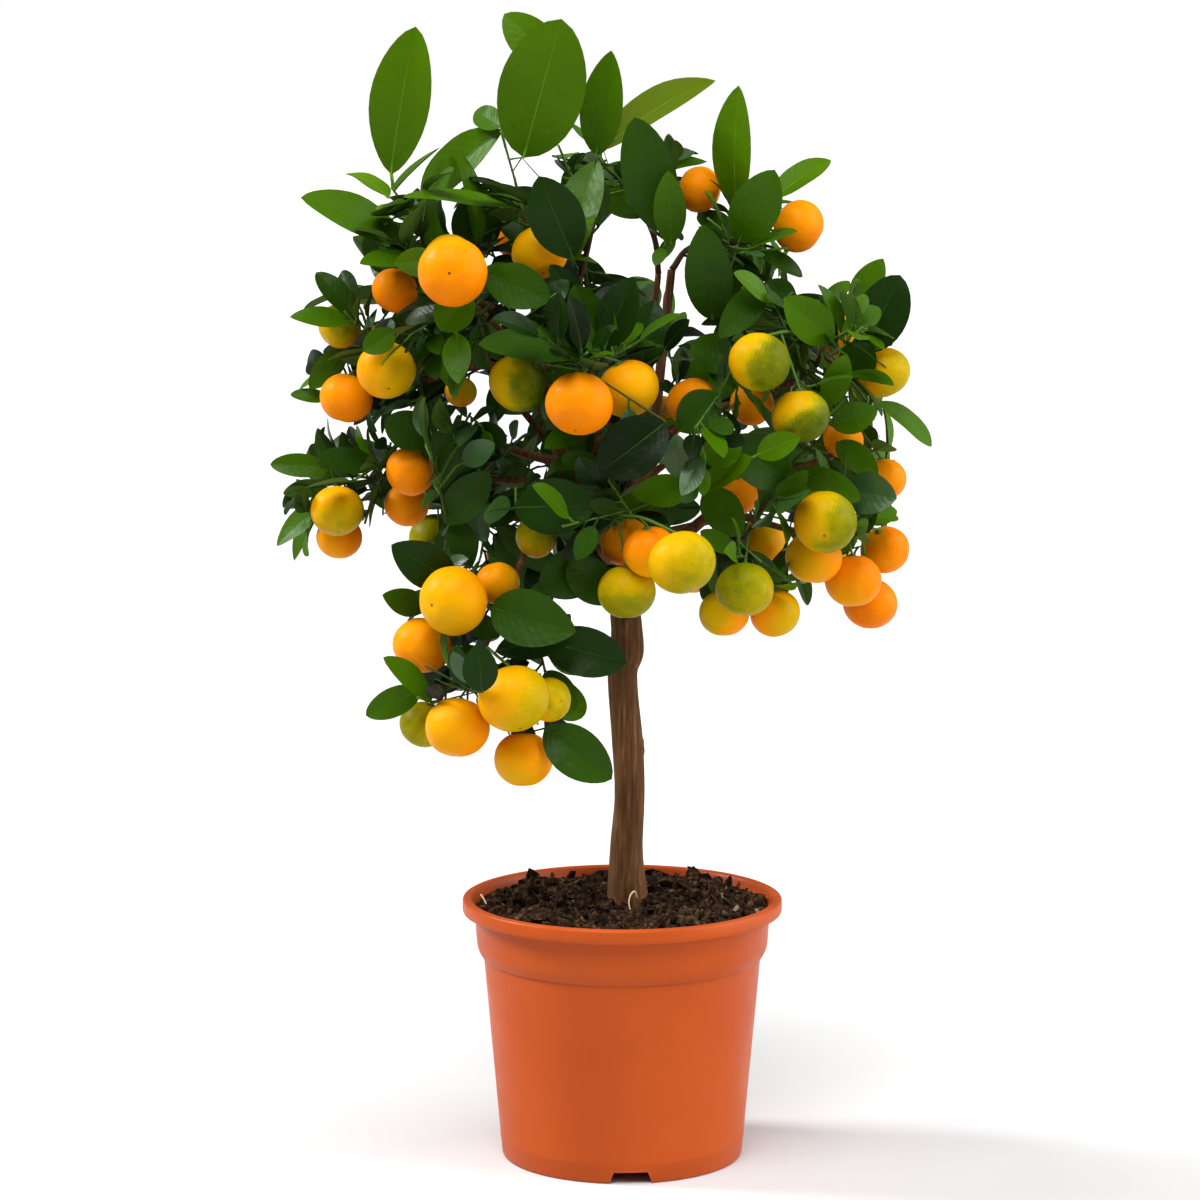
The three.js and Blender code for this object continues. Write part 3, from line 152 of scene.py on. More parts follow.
# The masses of foliage, as in the source. shoots: tips. leaves: root, tip, width as seen from the front, and
# tone from 0, the darkest green, to 7, or 8 for a grey green with a painted reflection of the sky. fruits:
# centre, diameter, ripeness from 0, green, to 1, deep orange, the angle of the greener side as seen from the
# front, and how much greener it is.
Mass = namedtuple("Mass", "name bough seed centre reach twigs size shoots leaves fruits")
MASSES = [
    Mass("top_left", "top_left", 11, (-122, -20, 582), 50, 4, 42, [(-140, -23, 606)], [
        (-140, -25, 614, -124, -35, 702, 37, 5), (-142, -20, 600, -170, 10, 615, 10, 6),
        (-130, -25, 573, -192, -60, 601, 24, 4), (-139, -20, 604, -112, 10, 629, 6, 4),
        (-123, -40, 564, -156, -75, 563, 14, 3), (-116, -20, 568, -117, -10, 600, 18, 3),
        (-88, -25, 568, -100, -20, 630, 11, 3),
    ], [
        (-138, -30, 544, 28, 0.92, 90, 0.05),
    ]),
    Mass("top_centre_left", "leader", 12, (-62, -8, 592), 58, 5, 44, [(-66, -12, 612), (-74, -15, 640)], [
        (-60, -25, 624, -37, -45, 706, 52, 5), (-73, -15, 640, -125, 20, 593, 27, 4),
        (-74, -15, 642, -91, 15, 652, 16, 3), (-34, 16, 672, -73, 30, 711, 27, 5),
        (-62, -30, 594, -131, -50, 603, 11, 4), (-30, -50, 565, -50, -60, 614, 33, 1),
        (-94, 10, 564, -84, 0, 604, 31, 2), (-57, 0, 570, -72, 20, 600, 25, 2),
    ], [
        (-50, -52, 568, 33, 0.7, 150, 0.1),
    ]),
    Mass("top_centre_right", "top_centre", 13, (6, 4, 602), 56, 4, 42, [(-14, -4, 622), (27, -22, 574)], [
        (-16, -5, 625, -7, -15, 688, 26, 4), (-12, -5, 628, 56, 10, 672, 23, 7),
        (-16, -15, 622, -31, -40, 562, 25, 3), (24, -20, 579, 7, -30, 648, 33, 2),
        (29, -30, 572, 27, -45, 616, 20, 3), (-16, 15, 628, -34, 35, 645, 6, 3),
        (17, 0, 589, -16, 15, 611, 28, 3),
    ], [
        (47, 0, 604, 28, 0.9, 90, 0.05),
    ]),
    Mass("top_right", "right_leader", 14, (76, -2, 572), 56, 4, 40, [(69, -12, 590)], [
        (69, -10, 592, 70, -15, 667, 23, 5), (70, -25, 573, 91, -40, 617, 30, 3),
        (93, 0, 599, 128, 20, 622, 16, 5), (70, 10, 594, 59, 25, 623, 9, 3),
        (54, -40, 527, 48, -55, 584, 29, 2), (69, -15, 575, 46, 10, 590, 15, 2),
        (76, -15, 569, 105, -25, 580, 7, 3), (80, -10, 567, 110, -5, 551, 11, 2),
    ], [
        (107, -10, 582, 32, 0.88, 120, 0.05),
    ]),
    Mass("right_shoulder", "shoulder", 15, (122, -38, 512), 62, 5, 40, [(144, -5, 512)], [
        (142, 15, 531, 161, 20, 561, 19, 4), (147, -21, 506, 168, -25, 553, 32, 1),
        (135, -10, 513, 119, -15, 547, 9, 3), (123, 20, 529, 141, 30, 547, 11, 4),
        (125, -55, 515, 96, -70, 542, 25, 4), (86, -20, 548, 106, -10, 537, 16, 2),
        (85, -60, 549, 57, -80, 519, 20, 2), (137, -40, 495, 162, -60, 490, 9, 3),
        (122, -70, 478, 132, -85, 509, 17, 4), (125, -60, 465, 152, -70, 475, 19, 3),
        (135, -20, 492, 151, -30, 511, 24, 2),
    ], [
        (80, -100, 506, 36, 0.42, -20, 0.26), (105, -90, 473, 34, 0.42, -40, 0.3),
        (160, -10, 493, 32, 0.62, 0, 0.15),
    ]),
    Mass("right_side", "right", 16, (146, 22, 446), 62, 5, 42, [(152, 0, 468)], [
        (157, 0, 474, 191, 5, 446, 13, 4), (130, -20, 452, 154, -35, 434, 17, 4),
        (133, -50, 425, 164, -70, 422, 26, 8), (148, 15, 458, 155, 20, 442, 16, 2),
    ], [
        (136, 0, 451, 25, 0.88, 90, 0.05), (161, 0, 426, 28, 0.85, 180, 0.05),
    ]),
    Mass("right_low", "right_low", 17, (132, -40, 404), 58, 4, 36, [], [], [
        (162, -5, 383, 30, 0.88, 200, 0.1), (120, -90, 410, 37, 0.5, -12, 0.22),
        (115, -60, 385, 34, 0.75, 180, 0.14), (140, -45, 369, 34, 0.88, 245, 0.12),
        (153, -10, 350, 33, 0.95, 90, 0.04),
    ]),
    Mass("front_right_low", "front_right", 18, (74, -72, 398), 58, 4, 36, [(98, -68, 436)], [
        (100, -70, 433, 60, -90, 459, 31, 2), (106, -60, 438, 142, -70, 421, 18, 3),
    ], [
        (72, -100, 371, 34, 0.3, 130, 0.09), (61, -65, 352, 30, 0.7, 180, 0.2),
        (92, -60, 351, 30, 0.7, 0, 0.16),
    ]),
    Mass("front_right_inner", "inner_right", 19, (50, -72, 458), 56, 4, 38, [(44, -88, 436)], [
        (57, -80, 485, 32, -85, 464, 26, 2), (45, -95, 450, 70, -100, 455, 20, 4),
        (33, -95, 437, 31, -110, 464, 17, 8), (40, -85, 429, 5, -95, 428, 20, 4),
        (46, -80, 428, 75, -95, 450, 15, 5), (49, -70, 427, 71, -80, 401, 24, 3),
        (67, -60, 504, 40, -75, 514, 24, 2),
    ], [
        (41, -60, 479, 30, 0.88, 90, 0.05), (79, -10, 474, 27, 0.85, 90, 0.05),
        (71, 0, 416, 25, 0.9, 90, 0.05),
    ]),
    Mass("front_centre", "front", 20, (-24, -84, 498), 66, 6, 42, [(-12, -90, 510)], [
        (-14, -100, 512, -85, -110, 518, 22, 2), (-81, -80, 556, -43, -95, 542, 27, 2),
        (-14, -60, 510, -29, -70, 550, 24, 2), (10, -50, 497, 19, -40, 539, 26, 1),
        (25, -90, 471, -14, -100, 442, 35, 0),
    ], [
        (-63, -70, 491, 35, 0.36, -15, 0.27), (-26, -120, 483, 39, 0.9, 90, 0.04),
        (3, -85, 489, 36, 0.7, -60, 0.08),
    ]),
    Mass("upper_left", "upper_left", 21, (-98, -60, 534), 56, 5, 42, [], [
        (-109, -60, 563, -135, -80, 564, 18, 3), (-91, -85, 547, -108, -95, 524, 24, 3),
    ], [
        (-100, -110, 559, 40, 0.9, 100, 0.07), (-104, -58, 564, 30, 0.72, 90, 0.08),
    ]),
    Mass("left_side", "left", 22, (-150, -14, 498), 62, 5, 40, [(-160, -2, 530)], [
        (-161, -10, 526, -187, 0, 554, 15, 2), (-165, -10, 525, -201, -20, 529, 13, 4),
        (-170, -5, 506, -192, -10, 483, 16, 3), (-180, -5, 476, -204, -5, 479, 9, 3),
        (-137, -50, 521, -154, -65, 511, 16, 3), (-116, -50, 455, -143, -60, 468, 24, 2),
    ], [
        (-173, -10, 521, 27, 0.42, 90, 0.2), (-142, -60, 498, 35, 0.66, -10, 0.12),
        (-168, -30, 479, 32, 0.9, 120, 0.05),
    ]),
    Mass("left_low", "left_low", 23, (-164, 0, 424), 60, 5, 38, [(-178, -8, 424)], [
        (-180, -10, 434, -216, -15, 437, 15, 3), (-180, -10, 414, -213, -15, 387, 14, 3),
        (-187, 5, 410, -204, 5, 375, 10, 3), (-151, -20, 437, -186, -30, 444, 16, 2),
    ], [
        (-174, -30, 410, 32, 0.58, -60, 0.12), (-175, 0, 390, 28, 0.82, 200, 0.08),
    ]),
    Mass("left_inner", "left_inner", 24, (-104, -46, 446), 56, 5, 40, [], [
        (-92, -50, 419, -113, -60, 462, 24, 2), (-108, -40, 405, -80, -50, 437, 24, 2),
    ], [
        (-129, -40, 435, 30, 0.9, 90, 0.04), (-133, -10, 411, 27, 0.88, 90, 0.05),
    ]),
    Mass("centre_low", "front_low", 25, (-20, -72, 410), 60, 5, 42, [], [
        (-65, -95, 419, -16, -110, 422, 34, 1), (-14, -70, 385, -50, -85, 369, 30, 2),
        (-5, -70, 360, -32, -80, 386, 26, 2),
    ], [
        (34, -140, 392, 39, 0.47, -35, 0.1), (16, -105, 394, 32, 0.88, 270, 0.12),
        (1, -62, 395, 30, 0.85, 90, 0.06), (2, -96, 369, 34, 0.4, -85, 0.13),
        (-53, -50, 396, 25, 0.42, 90, 0.15),
    ]),
    Mass("hanging_left", "hanging", 26, (-86, -78, 326), 74, 3, 38, [(-94, -72, 304), (-60, -66, 298)], [
        (-101, -90, 372, -138, -100, 396, 27, 1), (-121, -56, 353, -144, -80, 364, 17, 3),
        (-79, -95, 359, -28, -110, 347, 34, 2), (-49, -80, 337, 2, -86, 325, 30, 1),
        (-76, -83, 333, -28, -88, 346, 21, 1), (-83, -110, 315, -85, -115, 345, 21, 1),
        (-122, -70, 306, -155, -75, 291, 18, 3), (-115, -80, 301, -142, -90, 330, 13, 4),
        (-47, -80, 286, -7, -90, 257, 30, 2), (-47, -70, 317, -29, -75, 294, 18, 3),
        (-102, -45, 406, -93, -50, 382, 18, 2),
    ], [
        (-101, -100, 364, 41, 0.68, 235, 0.07), (-76, -65, 370, 27, 0.8, 0, 0.1),
        (-121, -70, 333, 35, 0.85, 100, 0.06), (-65, -110, 307, 42, 0.6, -10, 0.13),
        (-99, -95, 287, 38, 0.75, 150, 0.07), (-121, -60, 283, 29, 0.35, 180, 0.08),
        (-60, -85, 266, 35, 0.72, 225, 0.1), (-44, -96, 304, 26, 0.55, 0, 0.12),
    ]),
    Mass("back_top", "back_top", 34, (-18, 74, 580), 76, 7, 50, [(-40, 60, 630), (18, 66, 620)], [], [
        (-66, 104, 572, 33, 0.9, 90, 0.08),
    ]),
    Mass("back_left", "back_left", 28, (-112, 84, 500), 78, 7, 50, [], [], [
        (-101, 40, 477, 20, 0.6, 60, 0.12), (-150, 98, 500, 35, 0.84, 90, 0.08),
        (-100, 130, 532, 34, 0.4, 90, 0.08),
    ]),
    Mass("back_right", "back_right", 29, (98, 84, 504), 76, 7, 50, [], [], [
        (140, 70, 510, 34, 0.7, 90, 0.08), (92, 132, 520, 36, 0.92, 90, 0.08),
    ]),
    Mass("back_centre", "back", 30, (-8, 130, 476), 76, 7, 50, [], [], [
        (-20, 160, 486, 36, 0.6, 90, 0.08), (24, 146, 450, 34, 0.8, 90, 0.08),
    ]),
    Mass("back_low_left", "back_low_left", 31, (-104, 86, 404), 74, 6, 46, [], [], [
        (-120, 106, 376, 35, 0.35, 90, 0.08), (-70, 116, 362, 36, 0.88, 90, 0.08),
    ]),
    Mass("back_low_right", "back_low_right", 32, (84, 92, 400), 74, 6, 46, [], [], [
        (90, 122, 370, 36, 0.74, 90, 0.08), (130, 84, 372, 33, 0.5, 90, 0.08),
        (46, 104, 358, 34, 0.86, 90, 0.08),
    ]),
]
MASS_CENTRES = np.array([mass.centre for mass in MASSES], float)
MASS_REACHES = np.array([mass.reach for mass in MASSES], float)

# The crown's outline and its gaps, seen from the front on the plane y = 0.
CROWN_OUTLINE = np.array([
    (-152, 594), (-128, 608), (-100, 622), (-62, 628), (-30, 634), (28, 640), (48, 626), (62, 610),
    (100, 606), (118, 588), (104, 566), (98, 552), (118, 540), (134, 548), (164, 552), (168, 520),
    (172, 486), (170, 450), (174, 420), (170, 392), (172, 366), (160, 346), (124, 342), (104, 333),
    (52, 335), (46, 352), (18, 348), (8, 340), (-24, 338), (-10, 316), (-22, 290), (-18, 262),
    (-56, 244), (-112, 262), (-152, 286), (-140, 340), (-146, 380), (-112, 398), (-112, 408), (-150, 398),
    (-190, 368), (-210, 396), (-214, 442), (-196, 452), (-200, 486), (-190, 512), (-200, 530), (-182, 556),
    (-158, 560), (-192, 596),
], float)
SKY = np.array([
    (0, 572, 19, 16), (38, 553, 8, 20), (48, 530, 7, 8), (-89, 482, 8, 8), (25, 494, 5, 7),
    (-83, 622, 13, 10), (-35, 639, 17, 12), (-51, 616, 9, 14), (-3, 634, 9, 12),
    (50, 407, 7, 7), (89, 388, 10, 9), (-106, 424, 6, 5),
], float)
FRONT_EYE = np.array((-14, -2363, 670), float)
CROWN_FRONT = -156  # as far as the solids reach to the front
SHOWN_DEPTH = 30
GUARDED_SHARE = 0.9  # of a fruit's disc
CROWN_CENTRE = np.array((-14, 0, 470), float)
CROWN_REACH = np.array((230, 184, 240), float)

STEM_THICK = 4.2
SHOOT_THICK = 3
TWIG_THICK = 2.6
TWIG_TIP = 1.7
STALK_THICK = 2.2
BRANCH_SHARE = 0.45
LOOK_SHARE = 0.85  # a twig's start looks nearly as thick as the twig that it leaves
TWIG_STEP = 45
NODE_STEP = 8
NODES_TRIED = 24
BALL_STEP = 4
PETIOLE = 6
PETIOLE_REACH = 17
PETIOLE_RISE = 4
SINK = 3
DEPTH_SHIFTS = (0, -6, 6, -12, 12, -18, 18, -26, 26)
LEAF_SPACING = 10.5
LEAF_ATTEMPTS = 8
LEAF_THICK = 1.2
LARGE_LEAF = 52
LEAF_ANGLE = 0.95
GOLDEN_ANGLE = 2.39996
LEAF_ARCH = 0.035
LEAF_HALF = 0.48  # of the width, to each side
LEAF_MIDDLE = 0.4  # of the length, where the blade's middle point is
BLADES_NEAR = 0.62  # of two leaves' lengths together
TURNED_WIDTH = 0.42  # of the length: a leading leaf that looks narrower is turned away
LEAF_TURN = 1.1  # of each further attempt, in radians
LEAF_SHRINK = 0.07  # and how much smaller it is
FACE_UP = 0.5  # how much a seeded leaf faces up, and how much out of the crown
FACE_OUT = 0.85
SIDE_BOW = 0.22  # how far a twig may bow, as shares of its length: sideways, down, and up over a fruit
HANG_BOW = -0.08
STALK_BOW = 0.16
OWN_TWIG_REACH = 5
CLEAR = 0.9
BLADES_APART = 2
SPACE_EDGE = 0.9
TWIG_EDGE = 4

# What this script grows beyond the source: finer twigs with smaller leaves.
FINE_TWIGS = 3  # for each of the mass's seeded twigs
FINE_SIZE = 0.8
FINE_SPACING = 8
FINE_THICK = 1.7
FINE_SEED = 1000
FILL_SIZE = 0.9
FILL_SPACING = 9

# How far out in its mass a twig may end, as shares of the reach: the least, and how much a draw adds.
SEEDED_STRETCH = (0.5, 0.2)
FINE_STRETCH = (0.3, 0.6)

# ---------------------------------------------------------------- vectors


def vec(*values):
    return np.array(values, float)


def length_of(a):
    return math.sqrt(a @ a)


def unit(a):
    return a / length_of(a)


def square_to(a, axis):
    return unit(a - axis * (a @ axis))


def cross(a, b):
    x = a[..., 1] * b[..., 2] - a[..., 2] * b[..., 1]
    y = a[..., 2] * b[..., 0] - a[..., 0] * b[..., 2]
    z = a[..., 0] * b[..., 1] - a[..., 1] * b[..., 0]
    return np.stack([x, y, z], -1)


def within(points, place, reach):
    away = points - place
    return (away * away).sum(-1) < reach ** 2


def turns(count):
    return np.arange(count) * 2 * math.pi / count


def spokes(across, up, angles):
    """Directions at some angles from across, turning towards up."""
    return across[..., None, :] * np.cos(angles)[:, None] + up[..., None, :] * np.sin(angles)[:, None]


def seeded_random(seed):
    while True:
        seed = (seed * 1664525 + 1013904223) % 4294967296
        yield seed / 4294967296


def curve_point(points, t):
    """A point on the smooth curve through some points, with t from 0 to 1."""
    last = len(points) - 1
    place = min(t * last, last - 1e-9)
    i = int(place)
    u = place - i
    b, c = points[i], points[i + 1]
    a = points[i - 1] if i > 0 else 2 * b - c
    d = points[i + 2] if i + 2 <= last else 2 * c - b
    bend = (2 * a - 5 * b + 4 * c - d) * u * u + (3 * b - a - 3 * c + d) * u ** 3
    return 0.5 * (2 * b + (c - a) * u + bend)


def noise(points, seed=0):
    """Smooth seeded noise between -1 and 1 at each point."""
    cell = np.floor(points).astype(np.int64)
    part = points - cell
    blend = part * part * (3 - 2 * part)
    total = np.zeros(len(points))
    for corner in range(8):
        offset = np.array([corner & 1, corner >> 1 & 1, corner >> 2 & 1])
        x, y, z = (cell + offset).T
        mixed = x * 73856093 ^ y * 19349663 ^ z * 83492791 ^ seed * 40503 + 977
        mixed = (mixed ^ mixed >> 13) * 1274126177 & 0x7FFFFFFF
        value = ((mixed ^ mixed >> 15) & 65535) / 32767.5 - 1
        total += value * np.prod(np.where(offset, blend, 1 - blend), axis=1)
    return total


def layered_noise(points, layers, seed=0):
    return sum(noise(points * 2 ** k, seed + k) / 2 ** k for k in range(layers))


# ---------------------------------------------------------------- limbs


def trunk_limb():
    height, x, y, thick = np.array(TRUNK, float).T
    return Record(points=np.stack([x, y, height], -1), radii=thick / 2)


def point_at_height(limb, height):
    i = int(np.argmax(limb.points[:, 2] >= height))
    low, high = limb.points[i - 1:i + 1]
    return low + (high - low) * (height - low[2]) / (high[2] - low[2])


def bough_limb(limbs, parent, height, through, start_thick, tip_thick):
    start = vec(*FORK) if height is None else point_at_height(limbs[parent], height)
    bends = [start, *(vec(*point) for point in through)]
    steps = len(bends)
    points = np.array([curve_point(bends, i / steps) for i in range(steps + 1)])
    radii = np.linspace(start_thick, tip_thick, steps + 1) / 2
    return Record(points=points, radii=radii, bends=bends)


# ---------------------------------------------------------------- what stands in a leaf's way

LIMB, TWIG, FRUIT = 0, 1, 2
BLADE = [
    ("mid", float, 3), ("length", float), ("mass", int),
    ("faces", float, (6, 3, 3)), ("edges", float, (10, 2, 3)),
]
MOST_BALLS = 40000
MOST_BLADES = 6000


class Plant:
    """Limbs, twigs and fruit as rows of balls, and leaves as fans of six triangles."""

    def __init__(self):
        self.ball_rows = np.zeros((MOST_BALLS, 6))  # x, y, z, radius, kind, mass
        self.ball_count = 0
        self.blade_rows = np.zeros(MOST_BLADES, BLADE)
        self.blade_count = 0
        self.shown = np.zeros((0, 3))
        self.guarded = np.zeros((0, 4))  # fruit that finer leaves and twigs leave in sight: x, y, z, radius

    @property
    def balls(self):
        return self.ball_rows[:self.ball_count]

    @property
    def blades(self):
        return self.blade_rows[:self.blade_count]

    def add_balls(self, points, radii, kind, mass):
        rows = np.column_stack([points, radii])
        for start, end in zip(rows[:-1], rows[1:]):
            reach = end - start
            count = max(1, math.ceil(length_of(reach[:3]) / BALL_STEP)) + 1
            self.ball_count += count
            self.balls[-count:, :4] = start + reach * np.linspace(0, 1, count)[:, None]
            self.balls[-count:, 4:] = kind, mass

    def add_fruit(self, centre, radius, mass):
        self.ball_count += 1
        self.balls[-1] = (*centre, radius, FRUIT, mass)

    def add_blade(self, leaf):
        self.blade_count += 1
        self.blades[-1] = (leaf.mid, leaf.length, leaf.mass, leaf.faces, leaf.edges)

    def show(self, *points):
        self.shown = np.vstack([self.shown, *points])


plant = Plant()


def outside_space(points, mass):
    """How far points are past the plane between this mass's space and the nearest other one."""
    away = points[:, None] - MASS_CENTRES
    power = (away * away).sum(-1) - MASS_REACHES ** 2
    apart = np.sqrt(((MASS_CENTRES - MASS_CENTRES[mass]) ** 2).sum(-1))
    apart[mass] = 1
    past = (power[:, mass:mass + 1] - power) / (2 * apart)
    past[:, mass] = -np.inf
    return past.max(1)


def outside_crown(points):
    return (((points - CROWN_CENTRE) / CROWN_REACH) ** 2).sum(-1) > 1


def seen_at(points):
    """Where points are seen from the front, on the plane y = 0."""
    share = (-FRONT_EYE[1] / (points[:, 1] - FRONT_EYE[1]))[:, None]
    return (FRONT_EYE + (points - FRONT_EYE) * share)[:, [0, 2]]


def inside_polygon(points, polygon):
    (ax, az), (bx, bz) = polygon.T, np.roll(polygon, 1, axis=0).T
    x, z = points[:, 0:1], points[:, 1:2]
    rise = np.where(bz == az, 1, bz - az)
    meets = (bx - ax) * (z - az) / rise + ax
    return (((az > z) != (bz > z)) & (x < meets)).sum(1) % 2 == 1


def keeps_sky(points):
    away = (seen_at(points)[:, None] - SKY[:, :2]) / SKY[:, 2:]
    return not ((away * away).sum(-1) < 1).any()


def keeps_outline(points):
    if points[:, 1].min() < CROWN_FRONT or not keeps_sky(points):
        return False
    return bool(inside_polygon(seen_at(points), CROWN_OUTLINE).all())


def hides_guarded(points):
    centres, radii = plant.guarded[:, :3], plant.guarded[:, 3]
    covered = within(seen_at(points)[:, None], seen_at(centres), radii * GUARDED_SHARE)
    return bool((covered & (points[:, 1:2] < centres[:, 1])).any())


def hides_shown(leaf):
    behind = plant.shown[plant.shown[:, 1] > leaf.mid[1]]
    return bool(inside_polygon(seen_at(behind), seen_at(leaf.corners)).any())


def distances(points, faces):
    """The distance of each point to each triangle."""
    corners = faces.transpose(1, 0, 2)
    a, b, c = corners
    normal = cross(b - a, c - a)
    nearest = np.full((len(points), len(faces)), np.inf)
    inside = np.ones(nearest.shape, bool)
    for start, end in zip(corners, (b, c, a)):
        edge = end - start
        away = points[:, None] - start
        share = np.clip((away * edge).sum(-1) / (edge * edge).sum(-1), 0, 1)
        gap = away - share[..., None] * edge
        nearest = np.minimum(nearest, (gap * gap).sum(-1))
        inside &= (away * cross(edge, normal)).sum(-1) <= 0
    height = ((points[:, None] - a) * normal).sum(-1) ** 2 / (normal * normal).sum(-1)
    return np.sqrt(np.where(inside, height, nearest))


def any_crossing(edges, faces):
    starts = edges[:, None, 0]
    along = edges[:, None, 1] - starts
    ab = faces[:, 1] - faces[:, 0]
    ac = faces[:, 2] - faces[:, 0]
    h = cross(along, ac)
    det = (ab * h).sum(-1)
    sound = np.abs(det) >= 1e-12
    det = np.where(sound, det, 1)
    s = starts - faces[:, 0]
    q = cross(s, ab)
    u = (s * h).sum(-1) / det
    v = (along * q).sum(-1) / det
    t = (ac * q).sum(-1) / det
    hit = sound & (u >= -0.03) & (v >= -0.03) & (u + v <= 1.03) & (t >= -0.02) & (t <= 1.02)
    return bool(hit.any())


# ---------------------------------------------------------------- leaves of the rule

EDGE_PAIRS = np.array([(0, 1), (1, 2), (2, 3), (3, 4), (4, 5), (5, 0), (6, 3), (6, 1), (6, 5), (1, 5)])
OUTLINE_SHARES = ((0.3, 1), (0.7, 1), (0.7, -1), (0.3, -1))


def make_leaf(attach, root, tip, width, face, mass):
    reach = tip - root
    length = length_of(reach)
    along = reach / length
    up = square_to(face, along)
    side = cross(along, up)
    lift = 0 if length > LARGE_LEAF else LEAF_ARCH * length
    rim = [
        root + reach * share + side * (sign * LEAF_HALF * width) + up * lift
        for share, sign in OUTLINE_SHARES
    ]
    corners = np.array([attach, rim[0], rim[1], tip, rim[2], rim[3]])
    mid = root + reach * LEAF_MIDDLE + up * (LEAF_THICK + lift)
    faces = np.stack([np.broadcast_to(mid, (6, 3)), corners, np.roll(corners, -1, axis=0)], 1)
    edges = np.vstack([corners, mid])[EDGE_PAIRS]
    return Record(
        attach=attach, root=root, tip=tip, width=width, up=up, along=along, side=side, length=length,
        corners=corners, mid=mid, faces=faces, edges=edges, mass=mass, tone=None,
    )


def clear_of_balls(leaf):
    balls = plant.balls
    near = balls[within(balls[:, :3], leaf.mid, leaf.length + balls[:, 3])]
    own = (near[:, 4] == TWIG) & (near[:, 5] == leaf.mass)
    near = near[~(own & within(near[:, :3], leaf.attach, OWN_TWIG_REACH + near[:, 3]))]
    return bool((distances(near[:, :3], leaf.faces).min(1) > near[:, 3] + CLEAR).all())


def too_near(edges, faces):
    points = np.vstack([edges[:, 0], (edges[:, 0] + edges[:, 1]) / 2])
    return bool((distances(points, faces) < BLADES_APART).any())


def meets_blades(leaf, blades, test):
    faces = blades["faces"].reshape(-1, 3, 3)
    edges = blades["edges"].reshape(-1, 2, 3)
    return test(leaf.edges, faces) or test(edges, leaf.faces)


def clear_of_blades(leaf):
    blades = plant.blades
    near = blades[within(blades["mid"], leaf.mid, (blades["length"] + leaf.length) * BLADES_NEAR)]
    other = near[near["mass"] != leaf.mass]
    return not (meets_blades(leaf, near, any_crossing) or meets_blades(leaf, other, too_near))


def seeded_leaf_fits(leaf):
    points = np.vstack([leaf.corners[1:], leaf.mid])
    if (outside_space(points, leaf.mass) > -SPACE_EDGE).any() or outside_crown(points).any():
        return False
    seen = np.vstack([points, leaf.faces.mean(1)])
    if not keeps_outline(seen) or hides_shown(leaf) or hides_guarded(seen):
        return False
    return clear_of_balls(leaf) and clear_of_blades(leaf)


# ---------------------------------------------------------------- twigs of the rule


class Way:
    """What may block a twig to a place: the balls and leaves within some reach of it."""

    def __init__(self, to, reach, fruit, mass):
        balls = plant.balls
        own = (balls[:, 4] == TWIG) & (balls[:, 5] == mass)
        if fruit is not None:
            own |= (balls[:, 4] == FRUIT) & within(balls[:, :3], fruit, 1e-6)
        self.balls = balls[within(balls[:, :3], to, reach + balls[:, 3]) & ~own]
        blades = plant.blades[within(plant.blades["mid"], to, reach + plant.blades["length"])]
        self.faces = blades["faces"].reshape(-1, 3, 3)

    def clear(self, points, radius):
        for a, b in zip(points[:-1], points[1:]):
            count = math.ceil(length_of(b - a) / BALL_STEP)
            at = a + (b - a) * np.linspace(0, 1, count + 1)[:, None]
            if within(at[:, None], self.balls[:, :3], self.balls[:, 3] + radius + CLEAR).any():
                return False
        return not any_crossing(np.stack([points[:-1], points[1:]], 1), self.faces)


def add_twig(growth, points, start_thick, tip_thick, look):
    last = len(points) - 1
    growth.twigs.append(Record(points=points, **look))
    plant.add_balls(points, np.linspace(start_thick, tip_thick, last + 1) / 2, TWIG, growth.mass)
    for i in range(last):
        reach = points[i + 1] - points[i]
        count = math.ceil(length_of(reach) / NODE_STEP)
        for k in range(1, count + 1):
            t = (k - 0.3) / count
            thick = start_thick + (tip_thick - start_thick) * (i + t) / last
            growth.nodes.append(Record(at=points[i] + reach * t, thick=thick, taken=False))


def bowed(start, end, bow, steps):
    middle = (start + end) / 2 + bow
    t = np.linspace(0, 1, steps + 1)[:, None]
    first = start + (middle - start) * t
    second = middle + (end - middle) * t
    return first + (second - first) * t


def nearest_nodes(growth, to):
    """The free nodes nearest to a place, in order."""
    free = [node for node in growth.nodes if not node.taken]
    away = np.array([node.at for node in free]).reshape(-1, 3) - to
    order = np.argsort((away * away).sum(-1), kind="stable")
    return [free[i] for i in order[:NODES_TRIED]]


def grow_twig(growth, to, thick, kind, fruit=None):
    """A twig to a point from the nearest place on the mass's twigs with a free way, or None."""
    nodes = nearest_nodes(growth, to)
    if not nodes:
        return None
    way = Way(to, length_of(nodes[-1].at - to) * 1.3 + 8, fruit, growth.mass)
    for node in nodes:
        length = length_of(node.at - to)
        steps = max(1, round(length / TWIG_STEP))
        sideways = unit(vec(to[1] - node.at[1], node.at[0] - to[0], 0.01)) * (SIDE_BOW * length)
        hang = vec(0, 0, (HANG_BOW if fruit is None else STALK_BOW) * length)
        for bow in (hang, sideways, -sideways):
            points = bowed(node.at, to, bow, steps)
            if way.clear(points, thick / 2):
                end = min(thick, TWIG_TIP)
                look = dict(start=min(thick, node.thick * LOOK_SHARE), end=end, kind=kind)
                add_twig(growth, points, min(thick, node.thick * BRANCH_SHARE), end, look)
                node.taken = True
                return points
    return None


